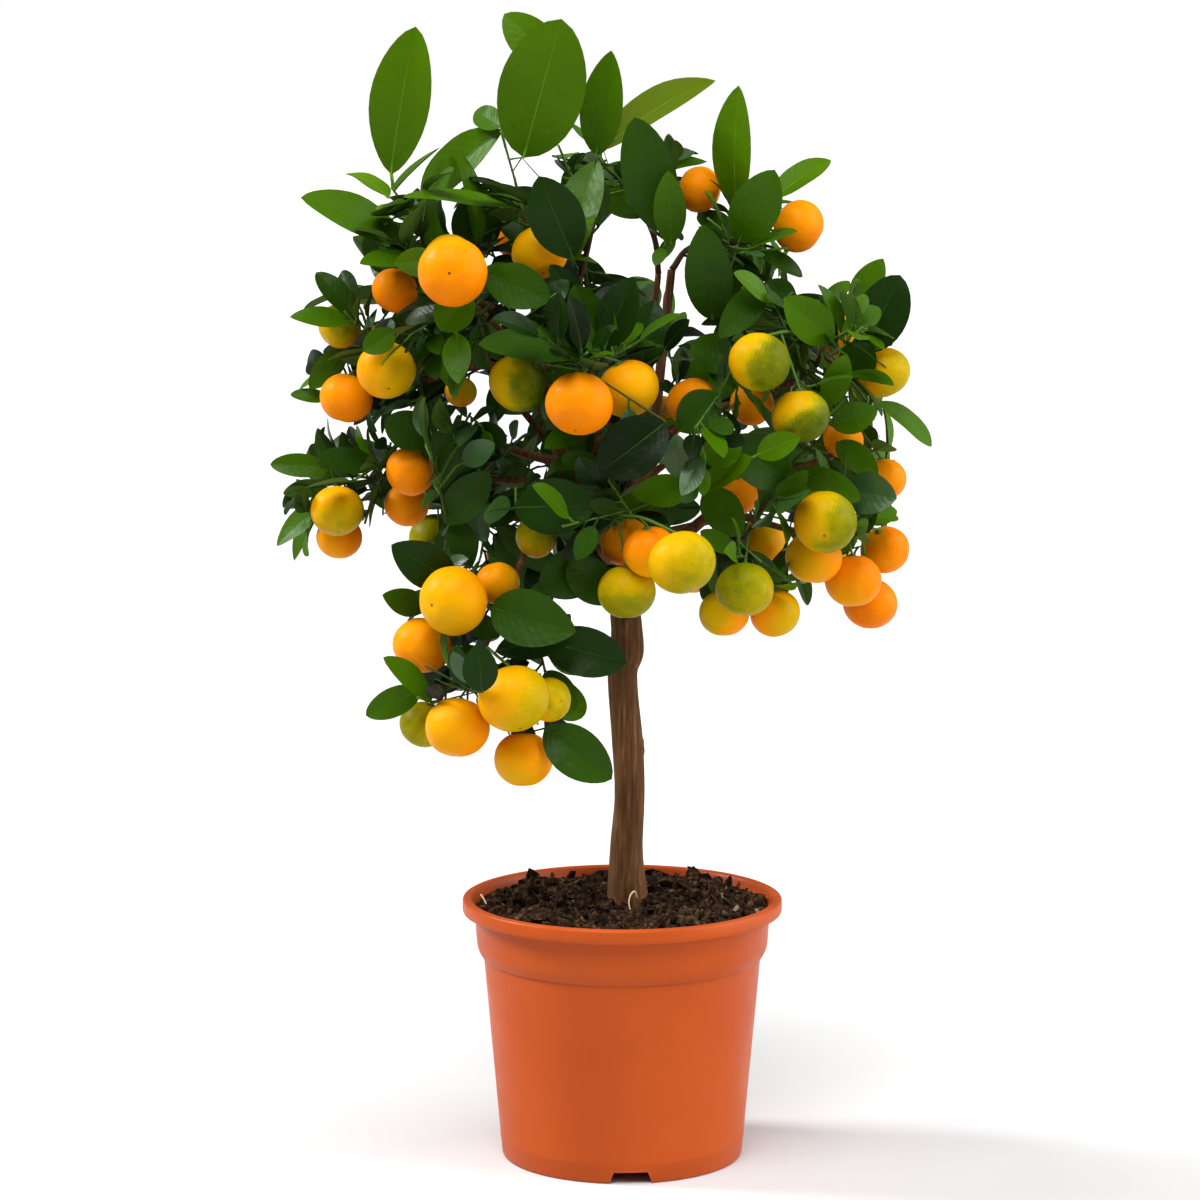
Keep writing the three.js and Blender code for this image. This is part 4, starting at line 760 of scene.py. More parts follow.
def grow_stem(mass, limbs):
    row = MASSES[mass]
    before, tip = limbs[row.bough].points[-2:]
    centre = vec(*row.centre)
    growth = Record(mass=mass, row=row, nodes=[], twigs=[], shoots=[], leaves=[], fruits=[])
    reach = length_of(tip - centre)
    bow = unit(tip - before) * (reach * 0.4) + (tip - centre) * 0.5
    points = bowed(tip, centre, bow, max(2, round(reach / TWIG_STEP)))
    add_twig(growth, points, STEM_THICK, SHOOT_THICK, dict(start=STEM_THICK, end=SHOOT_THICK, kind="stem"))
    return growth


def hang_fruit(growth, row):
    centre = vec(*row[:3])
    radius = row[3] / 2
    turn = math.radians(row[5])
    side = unit(vec(math.cos(turn), -0.35, math.sin(turn)))
    fruit = Record(centre=centre, radius=radius, ripe=row[4], side=side, greener=row[6], stalk=None)
    growth.fruits.append(fruit)
    plant.add_fruit(centre, radius, growth.mass)
    if centre[1] < SHOWN_DEPTH:
        ring = spokes(vec(1, 0, 0), vec(0, 0, 1), np.arange(6) * math.pi / 3) * 0.6 * radius
        plant.show(centre, centre + ring)


def planned_leaf(row, shift, mass):
    root = vec(*row[:3]) + vec(0, shift, 0)
    tip = vec(*row[3:6]) + vec(0, shift, 0)
    along = unit(tip - root)
    to_front = square_to(vec(0, -1, 0.15), along)
    sideways = cross(along, to_front)
    width = max(row[6], TURNED_WIDTH * length_of(tip - root))
    turn = math.acos(min(1, row[6] / width))
    sign = 1 if sideways[2] >= 0 else -1
    face = to_front * math.cos(turn) + sideways * (sign * math.sin(turn))
    return make_leaf(root, root, tip, width, face, mass)


def leaf_attach(growth, leaf):
    """Where a leaf leaves its twig: a free node close to its root, or the end of a twig grown for it."""
    free = [node for node in growth.nodes if not node.taken]
    free = [node for node in free if (node.at - leaf.root) @ leaf.up < PETIOLE_RISE]
    near = min(free, key=lambda node: length_of(node.at - leaf.root), default=None)
    if near and length_of(near.at - leaf.root) <= PETIOLE_REACH:
        near.taken = True
        return near.at
    twig = grow_twig(growth, leaf.root, STALK_THICK, "leafy")
    if twig is None:
        return None
    before, end = twig[-2:]
    return end + unit(before - end) * SINK


def grow_planned_leaf(growth, row):
    for shift in DEPTH_SHIFTS:
        leaf = planned_leaf(row, shift, growth.mass)
        if not (clear_of_balls(leaf) and clear_of_blades(leaf)):
            continue
        attach = leaf_attach(growth, leaf)
        if attach is None:
            continue
        grown = make_leaf(attach, leaf.root, leaf.tip, leaf.width, leaf.up, growth.mass)
        grown.tone = row[7]
        growth.leaves.append(grown)
        plant.add_blade(grown)
        reach = leaf.tip - leaf.root
        plant.show(leaf.mid, leaf.root + reach * 0.25, leaf.root + reach * 0.75)
        return


def grow_planned(growth):
    for tip in growth.row.shoots:
        shoot = grow_twig(growth, vec(*tip), SHOOT_THICK, "shoot")
        if shoot is not None:
            growth.shoots.append(shoot)
    for fruit in growth.fruits:
        top = fruit.centre + vec(0, 0, fruit.radius * 0.8)
        fruit.stalk = grow_twig(growth, top, STALK_THICK, "stalk", fruit.centre)
    for leaf in growth.row.leaves:
        grow_planned_leaf(growth, leaf)


def leaf_face(along, root, jitter):
    outward = unit(root - CROWN_CENTRE)
    lean = vec(0, 0, FACE_UP) + outward * FACE_OUT + jitter
    if abs(unit(lean) @ along) > 0.96:
        return vec(outward[1], -outward[0], 0.4)
    return lean


def place_on(points, rest):
    """The point at some length along a path, and the direction of the path there."""
    for start, end in zip(points[:-1], points[1:]):
        length = length_of(end - start)
        if rest <= length:
            break
        rest -= length
    return start + (end - start) * rest / length, unit(end - start)


def grow_leaves(growth, points, draws, size, spacing):
    """Leaves stand along a twig by the golden angle, the last one at its tip."""
    total = sum(length_of(b - a) for a, b in zip(points[:-1], points[1:]))
    count = max(2, int(total / spacing + 0.5))
    for i in range(count + 1):
        attach, ahead = place_on(points, total * (i + 0.5) / (count + 0.6))
        across = square_to(vec(0, 0, 1) if abs(ahead[2]) < 0.9 else vec(1, 0, 0), ahead)
        other = cross(ahead, across)
        turn = next(draws) * 0.8
        length = size * (0.75 + 0.5 * next(draws))
        width = length * (0.46 + 0.12 * next(draws))
        spread = LEAF_ANGLE * (0.35 if i == count else 0.8 + 0.5 * next(draws))
        jitter = vec(next(draws) - 0.5, next(draws) - 0.5, next(draws) - 0.5)
        for attempt in range(LEAF_ATTEMPTS):
            angle = GOLDEN_ANGLE * i + turn + attempt * LEAF_TURN
            out = across * math.cos(angle) + other * math.sin(angle)
            along = unit(ahead * math.cos(spread) + out * math.sin(spread))
            shrink = 1 - LEAF_SHRINK * attempt
            root = attach + along * PETIOLE
            tip = root + along * (length * shrink)
            leaf = make_leaf(attach, root, tip, width * shrink, leaf_face(along, root, jitter), growth.mass)
            if seeded_leaf_fits(leaf):
                growth.leaves.append(leaf)
                plant.add_blade(leaf)
                break


def twig_tips(growth, draws, count, turn, stretch):
    """Points spread evenly over the mass's space, without those out of the crown or in a gap."""
    row = growth.row
    for i in range(count):
        height = 1 - (2 * i + 1) / count
        ring = math.sqrt(1 - height * height)
        angle = GOLDEN_ANGLE * i + turn + next(draws)
        reach = row.reach * (stretch[0] + stretch[1] * next(draws))
        tip = vec(*row.centre) + vec(ring * math.cos(angle), ring * math.sin(angle), height) * reach
        inside = outside_space(tip[None], growth.mass)[0] < -TWIG_EDGE
        if inside and not outside_crown(tip) and keeps_outline(tip[None]):
            yield tip


def grow_seeded(growth):
    row = growth.row
    draws = seeded_random(row.seed)
    for shoot in growth.shoots:
        grow_leaves(growth, shoot, draws, row.size, LEAF_SPACING)
    for tip in twig_tips(growth, draws, row.twigs, row.seed, SEEDED_STRETCH):
        balls, nodes, leaves = plant.ball_count, len(growth.nodes), len(growth.leaves)
        twig = grow_twig(growth, tip, TWIG_THICK, "leafy")
        if twig is None:
            continue
        grow_leaves(growth, twig, draws, row.size, LEAF_SPACING)
        if len(growth.leaves) == leaves:
            growth.twigs.pop()
            plant.ball_count = balls
            del growth.nodes[nodes:]


def grow_finer(growth):
    """Beyond the source: leaves in the room left along each twig, and finer twigs with smaller leaves."""
    row = growth.row
    draws = seeded_random(row.seed + FINE_SEED)
    for twig in list(growth.twigs):
        if twig.kind != "stalk":
            grow_leaves(growth, twig.points, draws, row.size * FILL_SIZE, FILL_SPACING)
    for tip in twig_tips(growth, draws, row.twigs * FINE_TWIGS, row.seed * 2, FINE_STRETCH):
        twig = grow_twig(growth, tip, FINE_THICK, "fine")
        if twig is not None and (hides_guarded(twig) or not keeps_sky(twig)):
            growth.twigs.pop()
        elif twig is not None:
            grow_leaves(growth, twig, draws, row.size * FINE_SIZE, FINE_SPACING)


def grow_tree():
    limbs = {"trunk": trunk_limb()}
    for name, *row in BOUGHS:
        limbs[name] = bough_limb(limbs, *row)
    for limb in limbs.values():
        plant.add_balls(limb.points, limb.radii, LIMB, -1)
    growths = [grow_stem(mass, limbs) for mass in range(len(MASSES))]
    for growth in growths:
        for row in growth.row.fruits:
            hang_fruit(growth, row)
    for growth in growths:
        grow_planned(growth)
    for growth in growths:
        grow_seeded(growth)
    fruits = [fruit for growth in growths for fruit in growth.fruits if fruit.centre[1] < SHOWN_DEPTH]
    plant.guarded = np.array([(*fruit.centre, fruit.radius) for fruit in fruits])
    for growth in growths:
        grow_finer(growth)
    return limbs, growths


# ---------------------------------------------------------------- meshes


class Bunch:
    """Many small shapes that become one mesh, whose edges between rim vertices are sharp."""

    def __init__(self):
        self.points = []
        self.faces = []
        self.slots = []
        self.count = 0

    def add(self, vertices, faces, slots=(0, 0), uvs=None, rim=None):
        n = len(vertices)
        uvs = np.zeros((n, 2)) if uvs is None else uvs
        self.points.append((vertices, uvs, np.zeros(n, bool) if rim is None else rim))
        for block, slot in zip(faces, slots):
            self.faces.append(block + self.count)
            self.slots.append(np.broadcast_to(slot, len(block)))
        self.count += n

    def make(self, name, materials, uv_name="leaf"):
        vertices, uvs, rim = map(np.concatenate, zip(*self.points))
        loops = np.concatenate([block.ravel() for block in self.faces])
        sizes = np.concatenate([np.full(len(block), block.shape[1]) for block in self.faces])
        mesh = bpy.data.meshes.new(name)
        mesh.vertices.add(self.count)
        mesh.vertices.foreach_set("co", (vertices * MM).astype(np.float32).ravel())
        mesh.loops.add(len(loops))
        mesh.loops.foreach_set("vertex_index", loops.astype(np.int32))
        mesh.polygons.add(len(sizes))
        mesh.polygons.foreach_set("loop_start", (np.cumsum(sizes) - sizes).astype(np.int32))
        mesh.polygons.foreach_set("material_index", np.concatenate(self.slots).astype(np.int32))
        mesh.polygons.foreach_set("use_smooth", np.ones(len(sizes), bool))
        for material in materials:
            mesh.materials.append(material)
        mesh.update(calc_edges=True)
        layer = mesh.uv_layers.new(name=uv_name)
        layer.data.foreach_set("uv", uvs[loops].astype(np.float32).ravel())
        if rim.any():
            pairs = np.empty(len(mesh.edges) * 2, np.int32)
            mesh.edges.foreach_get("vertices", pairs)
            sharp = mesh.attributes.new("sharp_edge", "BOOLEAN", "EDGE")
            sharp.data.foreach_set("value", rim[pairs.reshape(-1, 2)].all(1))
        mesh.validate()
        return add_object(name, mesh)


def grid_faces(rows, columns, closed=False, flip=False):
    """Quads of a grid of vertices; closed joins the last column to the first."""
    i, j = np.indices((rows - 1, columns if closed else columns - 1))
    n = (j + 1) % columns
    quads = np.stack([i * columns + j, i * columns + n, (i + 1) * columns + n, (i + 1) * columns + j], -1)
    quads = quads.reshape(-1, 4)
    return quads[:, ::-1] if flip else quads


def capped(rings, low, high, flip=False):
    """Vertices and faces of a skin over rings of points, closed with a point at each end."""
    rows, sides = rings.shape[:2]
    j = np.arange(sides)
    k = (j + 1) % sides
    last = (rows - 1) * sides
    start = np.stack([k, j, np.full(sides, rows * sides)], -1)
    end = np.stack([last + j, last + k, np.full(sides, rows * sides + 1)], -1)
    ends = np.vstack([start, end])
    vertices = np.vstack([rings.reshape(-1, 3), low, high])
    return vertices, (grid_faces(rows, sides, True, flip), ends[:, ::-1] if flip else ends)


def ring_frames(points):
    """Two directions square to the path at each of its points, turning as little as they can."""
    ahead = np.gradient(points, axis=0)
    ahead /= np.linalg.norm(ahead, axis=1)[:, None]
    guess = vec(1, 0, 0) if abs(ahead[0][0]) < 0.8 else vec(0, 1, 0)
    across = []
    for along in ahead:
        guess = square_to(guess, along)
        across.append(guess)
    across = np.array(across)
    return across, cross(ahead, across)


def tube(points, radii, sides):
    """Vertices and faces of a round tube with closed ends. radii may differ round each ring."""
    out = spokes(*ring_frames(points), turns(sides))
    radii = np.reshape(radii, (len(points), -1, 1))
    return capped(points[:, None] + out * radii, points[0], points[-1])


def turned(profile, sides):
    """Rings round the z axis at the radii and heights of a profile."""
    reach, level = np.array(profile, float).T[:, :, None, None]
    return spokes(vec(1, 0, 0), vec(0, 1, 0), turns(sides)) * reach + vec(0, 0, 1) * level


def smooth_path(points, step):
    total = sum(length_of(b - a) for a, b in zip(points[:-1], points[1:]))
    count = max(2, round(total / step))
    return np.array([curve_point(points, t) for t in np.linspace(0, 1, count + 1)])


# ---------------------------------------------------------------- materials

WORLD_LIGHT = 0.22
# The last tone is a grey green that paints a reflection of the sky, on leaves whose shader is also glossier.
LEAF_TONES = (
    "#0b1a02", "#152d03", "#254303", "#365901", "#3d6101", "#426501", "#4b7001", "#4a5c07", "#304e24",
)
LEAF_GLOSS = (0.09, 0.09, 0.09, 0.08, 0.06, 0.05, 0.05, 0.05, 0.42)
PAINTED_SHEEN_TONE = 8  # a grey green base colour: a painted reflection of the sky, with a stronger gloss as well
PAINTED_SHEEN_SHARE = 0.22
UNDER_TONES = ("#375521", "#446325", "#54752c")
RIB_TONES = ("#24430f", "#3b6409", "#507a0c")
UNDER_OF = (0, 0, 1, 1, 2, 2, 2, 2, 1)  # the under side of each tone
RIB_OF = (0, 0, 0, 1, 1, 2, 2, 2, 1)  # and its midrib
PEEL_STOPS = (
    (0.0, "#465402"), (0.15, "#6c7001"), (0.3, "#908501"), (0.42, "#b39601"), (0.54, "#cc9b01"),
    (0.66, "#de9701"), (0.78, "#e48b01"), (0.9, "#e67f01"), (1.0, "#e27201"),
)
PEEL_STEPS = 24

def rgb(text):
    """A colour as a display shows it, as the shader's linear numbers."""
    values = [int(text[i:i + 2], 16) / 255 for i in (1, 3, 5)]
    return (*[v / 12.92 if v <= 0.04045 else ((v + 0.055) / 1.055) ** 2.4 for v in values], 1)


class Shader:
    """A material with its Principled shader, and a short way to add and link nodes."""

    def __init__(self, name, colour, roughness, specular):
        self.material = bpy.data.materials.new(name)
        self.material.use_nodes = True
        self.tree = self.material.node_tree
        self.shader = self.tree.nodes["Principled BSDF"]
        self.fill(self.shader, {"Base Color": colour, "Roughness": roughness, "Specular IOR Level": specular})

    def paint(self, colour):
        self.fill(self.shader, {"Base Color": colour})

    def fill(self, node, inputs):
        """Sets inputs to values, or links them to the outputs that are given for them."""
        for key, value in inputs.items():
            if isinstance(value, bpy.types.NodeSocket):
                self.tree.links.new(value, node.inputs[key])
            else:
                node.inputs[key].default_value = value

    def node(self, kind, inputs, output=0, **settings):
        """Adds a node and returns one of its outputs."""
        node = self.tree.nodes.new(kind)
        for key, value in settings.items():
            setattr(node, key, value)
        self.fill(node, inputs)
        return node.outputs[output]

    def maths(self, operation, *values):
        return self.node("ShaderNodeMath", dict(enumerate(values)), operation=operation)

    def noise(self, scale, detail=2, stretch=(1, 1, 1)):
        place = self.node("ShaderNodeTexCoord", {}, "Object")
        spot = self.node("ShaderNodeMapping", {"Vector": place, "Scale": stretch})
        return self.node("ShaderNodeTexNoise", {"Vector": spot, "Scale": scale, "Detail": detail}, "Fac")

    def ramp(self, factor, stops):
        node = self.tree.nodes.new("ShaderNodeValToRGB")
        elements = node.color_ramp.elements
        while len(elements) < len(stops):
            elements.new(0.5)
        for element, (place, colour) in zip(elements, stops):
            element.position = place
            element.color = rgb(colour)
        self.fill(node, {"Fac": factor})
        return node.outputs["Color"]

    def vary_roughness(self, factor, low, high):
        inputs = {"Value": factor, "From Min": 0.3, "From Max": 0.7, "To Min": low, "To Max": high}
        self.fill(self.shader, {"Roughness": self.node("ShaderNodeMapRange", inputs)})

    def bump(self, factor, strength, distance):
        inputs = {"Height": factor, "Strength": strength, "Distance": distance}
        for before in self.shader.inputs["Normal"].links:
            inputs["Normal"] = before.from_socket
        self.fill(self.shader, {"Normal": self.node("ShaderNodeBump", inputs)})


def vein_height(shader):
    """Side veins: low ridges that leave the midrib at a slant, from the blade's own UVs."""
    place = shader.node("ShaderNodeTexCoord", {}, "UV")
    across = shader.node("ShaderNodeSeparateXYZ", {"Vector": place}, "X")
    level = shader.node("ShaderNodeSeparateXYZ", {"Vector": place}, "Y")
    out = shader.maths("ABSOLUTE", shader.maths("SUBTRACT", across, 0.5))
    slant = shader.maths("SUBTRACT", level, shader.maths("MULTIPLY", out, 0.5))
    return shader.maths("SINE", shader.maths("MULTIPLY", slant, 56))


def leaf_material(name, colour, low, high, specular):
    shader = Shader(name, rgb(colour), (low + high) / 2, specular)
    shader.vary_roughness(shader.noise(60, 3), low, high)
    shader.bump(shader.noise(110), 0.35, 0.002)
    shader.bump(vein_height(shader), 0.1, 0.00025)
    shader.bump(shader.noise(900), 0.12, 0.0002)
    return shader.material


def plain_material(name, colour, roughness, scale, strength):
    shader = Shader(name, rgb(colour), roughness, 0.12)
    height = shader.noise(scale, 3)
    shader.vary_roughness(height, roughness - 0.06, roughness + 0.06)
    shader.bump(height, strength, 0.0004)
    return shader.material


def peel_material(step):
    places, colours = zip(*PEEL_STOPS)
    channels = zip(*[rgb(colour) for colour in colours])
    colour = [float(np.interp(step / (PEEL_STEPS - 1), places, channel)) for channel in channels]
    shader = Shader(f"peel_{step:02d}", colour, 0.36, 0.05)
    shader.vary_roughness(shader.noise(120), 0.32, 0.46)
    shader.bump(shader.noise(1100, 1), 0.28, 0.0003)
    shader.bump(shader.noise(260), 0.12, 0.0005)
    return shader.material


# ---------------------------------------------------------------- leaves as they look

LEAF_ROWS = 14
LEAF_COLUMNS = np.array([-1, -0.55, 0, 0, 0.55, 1])
RIB_SIGN = np.array([0, 0, -1, 1, 0, 0])
RIB_SHARE = 0.02
BLADE_THICK = 0.4
PETIOLE_SIDES = 5
RIB_STATIONS = (0.0, 0.15, 0.35, 0.55, 0.75, 0.9)
STALK_TAPER = np.array([1.25, 0.95, 1.0, 0.95, 0.8, 0.65, 0.5, 0.35, 0.15])
LEAF_SHAPES = dict(
    foot=(0.6, 0.75), point=(0.6, 0.8), arch=(0.022, 0.06), fold=(0.05, 0.3), curl=(-0.05, 0.22),
    wave=(0, 0.06), phase=(0, 6.28),
)


def leaf_template():
    """Faces of one leaf: upper side, rib strip, under side, stalk. And which vertices are inside its rim."""
    columns = len(LEAF_COLUMNS)
    quads = grid_faces(LEAF_ROWS + 1, columns, flip=True)
    strip = np.repeat(np.arange(len(quads)) % (columns - 1) == 2, 2)
    upper = quads[:, [[0, 1, 2], [0, 2, 3]]].reshape(-1, 3)
    inner = np.zeros((LEAF_ROWS + 1, columns), bool)
    inner[1:-1, 1:-1] = True
    inner = inner.ravel()
    count = len(inner) + inner.sum()
    below = np.arange(len(inner))
    below[inner] = np.arange(len(inner), count)
    under = below[upper][:, ::-1]
    stalk = grid_faces(len(STALK_TAPER), PETIOLE_SIDES, closed=True) + count
    return (upper[~strip], upper[strip], under, stalk), inner


def blade_points(take, shape):
    """Vertices of the upper sides of many leaves at once, and each row's share of the length."""
    rows = np.linspace(0, 1, LEAF_ROWS + 1)
    t = (0.5 * rows + 0.5 * (0.5 - 0.5 * np.cos(math.pi * rows)))[:, None]
    v = np.clip(LEAF_COLUMNS + RIB_SIGN * RIB_SHARE * (1.2 - t), -1, 1)
    peak = shape.foot / (shape.foot + shape.point)
    profile = (t / peak) ** shape.foot * ((1 - t) / (1 - peak)) ** shape.point
    spread = np.maximum(take.width / 2 * profile, np.where(t < 0.5, 0.5, 0.12))
    wave = np.sin(shape.phase + 9 * t + 2 * np.sign(v))
    height = shape.arch * 4 * t * (1 - t) * take.length
    height = height + shape.fold * np.abs(v) * spread
    height = height - shape.curl * np.maximum(0, t - 0.55) ** 2 * take.length
    height = height + shape.wave * wave * v * v * spread
    points = take.root + take.along * (t * take.length)[..., None]
    return points + take.side * (v * spread)[..., None] + take.up * height[..., None], t


def leaf_tone(leaf, rng):
    """How bright a leaf's green is: the new leaves at the top and outside are brighter than those within, and
    painted light is added: leaves deep in the crown are darker as painted shade, and those on the right
    lighter as a painted lit side.
    """
    if leaf.tone is not None:
        return leaf.tone
    middle = (leaf.root + leaf.tip) / 2
    out = length_of((middle - CROWN_CENTRE) / CROWN_REACH)
    high = min(1, max(0, (middle[2] - 520) / 110))
    # Painted light: leaves on the right are made lighter, as the side that the light falls on.
    right = min(1, max(0, middle[0] / 130))
    # The outward term is partly new growth and partly painted shade on the leaves deep within the crown.
    value = 0.9 + 1.6 * high + 2.6 * right + 2.2 * max(0, out - 0.6) + rng.normal(0, 1.5)
    # Some darker leaves take the grey green of a painted sky reflection.
    if value < 3 and rng.uniform() < PAINTED_SHEEN_SHARE:
        return PAINTED_SHEEN_TONE
    return int(min(6, max(0, round(value))))


def stalk_points(take, points):
    """Rings of the leaf stalks, which run on as ribs under the blades."""
    rows = [round(share * LEAF_ROWS) for share in RIB_STATIONS]
    rib = points[:, rows, 2:4].mean(2) - take.up[:, 0] * BLADE_THICK * 0.8
    middle = (take.attach + take.root) / 2 - take.up * 0.3
    path = np.concatenate([take.attach[:, 0], middle[:, 0], take.root[:, 0], rib], 1)
    radii = (0.55 + 0.008 * take.length[:, 0]) * STALK_TAPER
    out = spokes(take.side[:, 0], take.up[:, 0], turns(PETIOLE_SIDES))
    return path[:, :, None] + out * radii[:, :, None, None]


def add_leaves(bunch, leaves, rng):
    faces, inner = leaf_template()
    keys = ("attach", "root", "up", "along", "side", "length", "width")
    take = Record(**{key: np.array([getattr(leaf, key) for leaf in leaves])[:, None, None] for key in keys})
    size = (len(leaves), 1, 1)
    shape = Record(**{key: rng.uniform(*limits, size) for key, limits in LEAF_SHAPES.items()})
    points, t = blade_points(take, shape)
    stalks = stalk_points(take, points)
    u, v = np.broadcast_arrays((LEAF_COLUMNS + 1) / 2, t)
    flat = np.stack([u.ravel(), v.ravel()], -1)
    uvs = np.vstack([flat, flat[inner], np.tile((0.5, 0.0), (stalks[0].size // 3, 1))])
    rim = np.arange(len(uvs)) < len(inner)
    rim[:len(inner)] &= ~inner
    for i, leaf in enumerate(leaves):
        tone = leaf_tone(leaf, rng)
        top = points[i].reshape(-1, 3)
        vertices = np.vstack([top, top[inner] - leaf.up * BLADE_THICK, stalks[i].reshape(-1, 3)])
        under = len(LEAF_TONES) + UNDER_OF[tone]
        rib = len(LEAF_TONES) + len(UNDER_TONES) + RIB_OF[tone]
        bunch.add(vertices, faces, (tone, rib, under, rib), uvs, rim)


# ---------------------------------------------------------------- fruit and twigs as they look

FRUIT_ROWS = 34
FRUIT_COLUMNS = 48
CALYX_LOBES = 5
TWIG_SIDES = 7
TWIG_RING_STEP = 4
TWIG_SLOTS = {"stem": 0, "leafy": 1, "shoot": 1, "fine": 2, "stalk": 2}
YOUNG_HEIGHT = 580  # shoots that reach above this are green


def fruit_axis(fruit):
    """The fruit hangs from where its stalk comes in."""
    if fruit.stalk is None:
        return vec(0, 0, 1)
    path = smooth_path(fruit.stalk, 1.0)
    out = np.linalg.norm(path - fruit.centre, axis=1) >= fruit.radius
    entry = path[np.nonzero(out)[0][-1]] if out.any() else path[0]
    return unit(entry - fruit.centre)


def fruit_sides(axis):
    across = square_to(vec(1, 0, 0) if abs(axis[0]) < 0.9 else vec(0, 1, 0), axis)
    return across, cross(axis, across)


def fruit_grid(fruit, axis, seed):
    polar = np.linspace(0.004, math.pi - 0.004, FRUIT_ROWS + 1)[:, None]
    polar[-2] = math.pi - 0.045
    turn = turns(FRUIT_COLUMNS)
    ring = spokes(*fruit_sides(axis), turn)
    direction = axis * np.cos(polar)[..., None] + ring * np.sin(polar)[..., None]
    uneven = noise(direction.reshape(-1, 3) * 1.3 + seed, seed).reshape(direction.shape[:2])
    dent = 0.075 * np.exp(-(polar / 0.3) ** 2) + 0.045 * np.exp(-((math.pi - polar) / 0.2) ** 2)
    lobes = 0.006 * np.sin(polar) * np.cos(9 * turn + seed)
    flat = direction * (fruit.radius * (1.02 + 0.014 * uneven + lobes - dent))[..., None]
    squash = (flat @ axis)[..., None] * axis * 0.08
    return fruit.centre + flat - squash, direction


def fruit_tones(fruit, axis, direction, seed):
    """Ripeness of each face: greener round the stalk and on one side, mottled in between."""
    middle = direction + np.roll(direction, -1, 1)
    flat = ((middle[:-1] + middle[1:]) / 4).reshape(-1, 3)
    rng = np.random.default_rng(seed)
    patchy = layered_noise(flat * 1.6 + seed * 3.1, 3, seed)
    green = 1 / (1 + np.exp(-4.5 * (flat @ fruit.side + 0.3 * patchy - 0.15)))
    unripe = 1 - abs(fruit.ripe - 0.5) * 1.5
    value = fruit.ripe + 0.6 * fruit.greener - 2.0 * fruit.greener * green
    value = value - 0.08 * max(0.2, unripe) * np.clip((flat @ axis - 0.6) / 0.4, 0, 1)
    value = value + 0.035 * layered_noise(flat * 4 + seed * 1.7, 3, seed + 5) * (0.35 + unripe)
    value = value + rng.normal(0, 0.007, len(flat))
    steps = np.clip(np.round(value * (PEEL_STEPS - 1)), 0, PEEL_STEPS - 1).astype(int)
    steps[-FRUIT_COLUMNS:] = PEEL_STEPS
    return steps


def add_calyx(bunch, fruit, axis):
    """The green star under the stalk."""
    angles = turns(CALYX_LOBES * 4)
    reach = (1.7 + 1.25 * (0.5 + 0.5 * np.cos(CALYX_LOBES * angles)) ** 1.5)[:, None]
    ring = spokes(*fruit_sides(axis), angles)
    base = fruit.centre + axis * (fruit.radius * 0.93 * 0.92)
    rise = 0.0022 * fruit.radius * reach ** 2
    low = base + ring * reach + axis * (rise + 0.1)
    high = base + ring * (reach * 0.8) + axis * (rise + 0.9)
    vertices = np.vstack([low, high, base + ring + axis * 2.0])
    bunch.add(vertices, (grid_faces(3, len(angles), closed=True),), (PEEL_STEPS + 1,))


def add_fruit(bunch, fruit, seed):
    axis = fruit_axis(fruit)
    points, direction = fruit_grid(fruit, axis, seed)
    faces = grid_faces(FRUIT_ROWS + 1, FRUIT_COLUMNS, closed=True)
    bunch.add(points.reshape(-1, 3), (faces,), (fruit_tones(fruit, axis, direction, seed),))
    add_calyx(bunch, fruit, axis)


def add_twig_mesh(bunch, twig, seed):
    path = smooth_path(twig.points, TWIG_RING_STEP)
    radii = np.linspace(twig.start, twig.end, len(path)) / 2
    radii = radii * (1 + 0.07 * noise(path * 0.13 + seed, seed))
    young = twig.kind == "shoot" and path[-1][2] > YOUNG_HEIGHT
    slot = TWIG_SLOTS["fine" if young else twig.kind]
    bunch.add(*tube(path, radii, TWIG_SIDES), (slot, slot))


# ---------------------------------------------------------------- trunk and boughs

BARK_SIDES = 96
BOUGH_SIDES = (28, 18)  # of the thicker boughs, and of the others
THICK_BOUGH = 7
BARK_STEP = 1.1
BOUGH_STEP = 2.2
FLARE = ((150, 3.2, 0, 40), (154, 3.2, 0, 35))
SCAR_PLACE = (12, -2, 259)
STUB_PLACE = (1, -9, 335)
ROOT_TOP = 178  # the roots' ridges fade out towards this height
ROOT_FADE = 24


def bark_relief(angles, level, thick, seed):
    """Height of the bark over a limb's mean surface: long furrows that run with the limb and fork."""
    level = np.broadcast_to(level[:, None], (len(level), len(angles)))
    swirl = angles + 0.22 * np.sin(level * 0.02 + seed)

    def stretched(around, along):
        return np.stack([np.cos(swirl) * around, np.sin(swirl) * around, level * along], -1).reshape(-1, 3)

    cracks = np.maximum(0, 1 - np.abs(noise(stretched(6.5, 0.045) + seed, seed + 1)) * 6)
    height = 0.35 * noise(stretched(2.2, 0.03) + seed, seed) - 0.18 * cracks
    height = height + 0.16 * noise(stretched(12.0, 0.16), seed + 2)
    return height.reshape(level.shape) * (0.022 * thick[:, None] + 0.08)


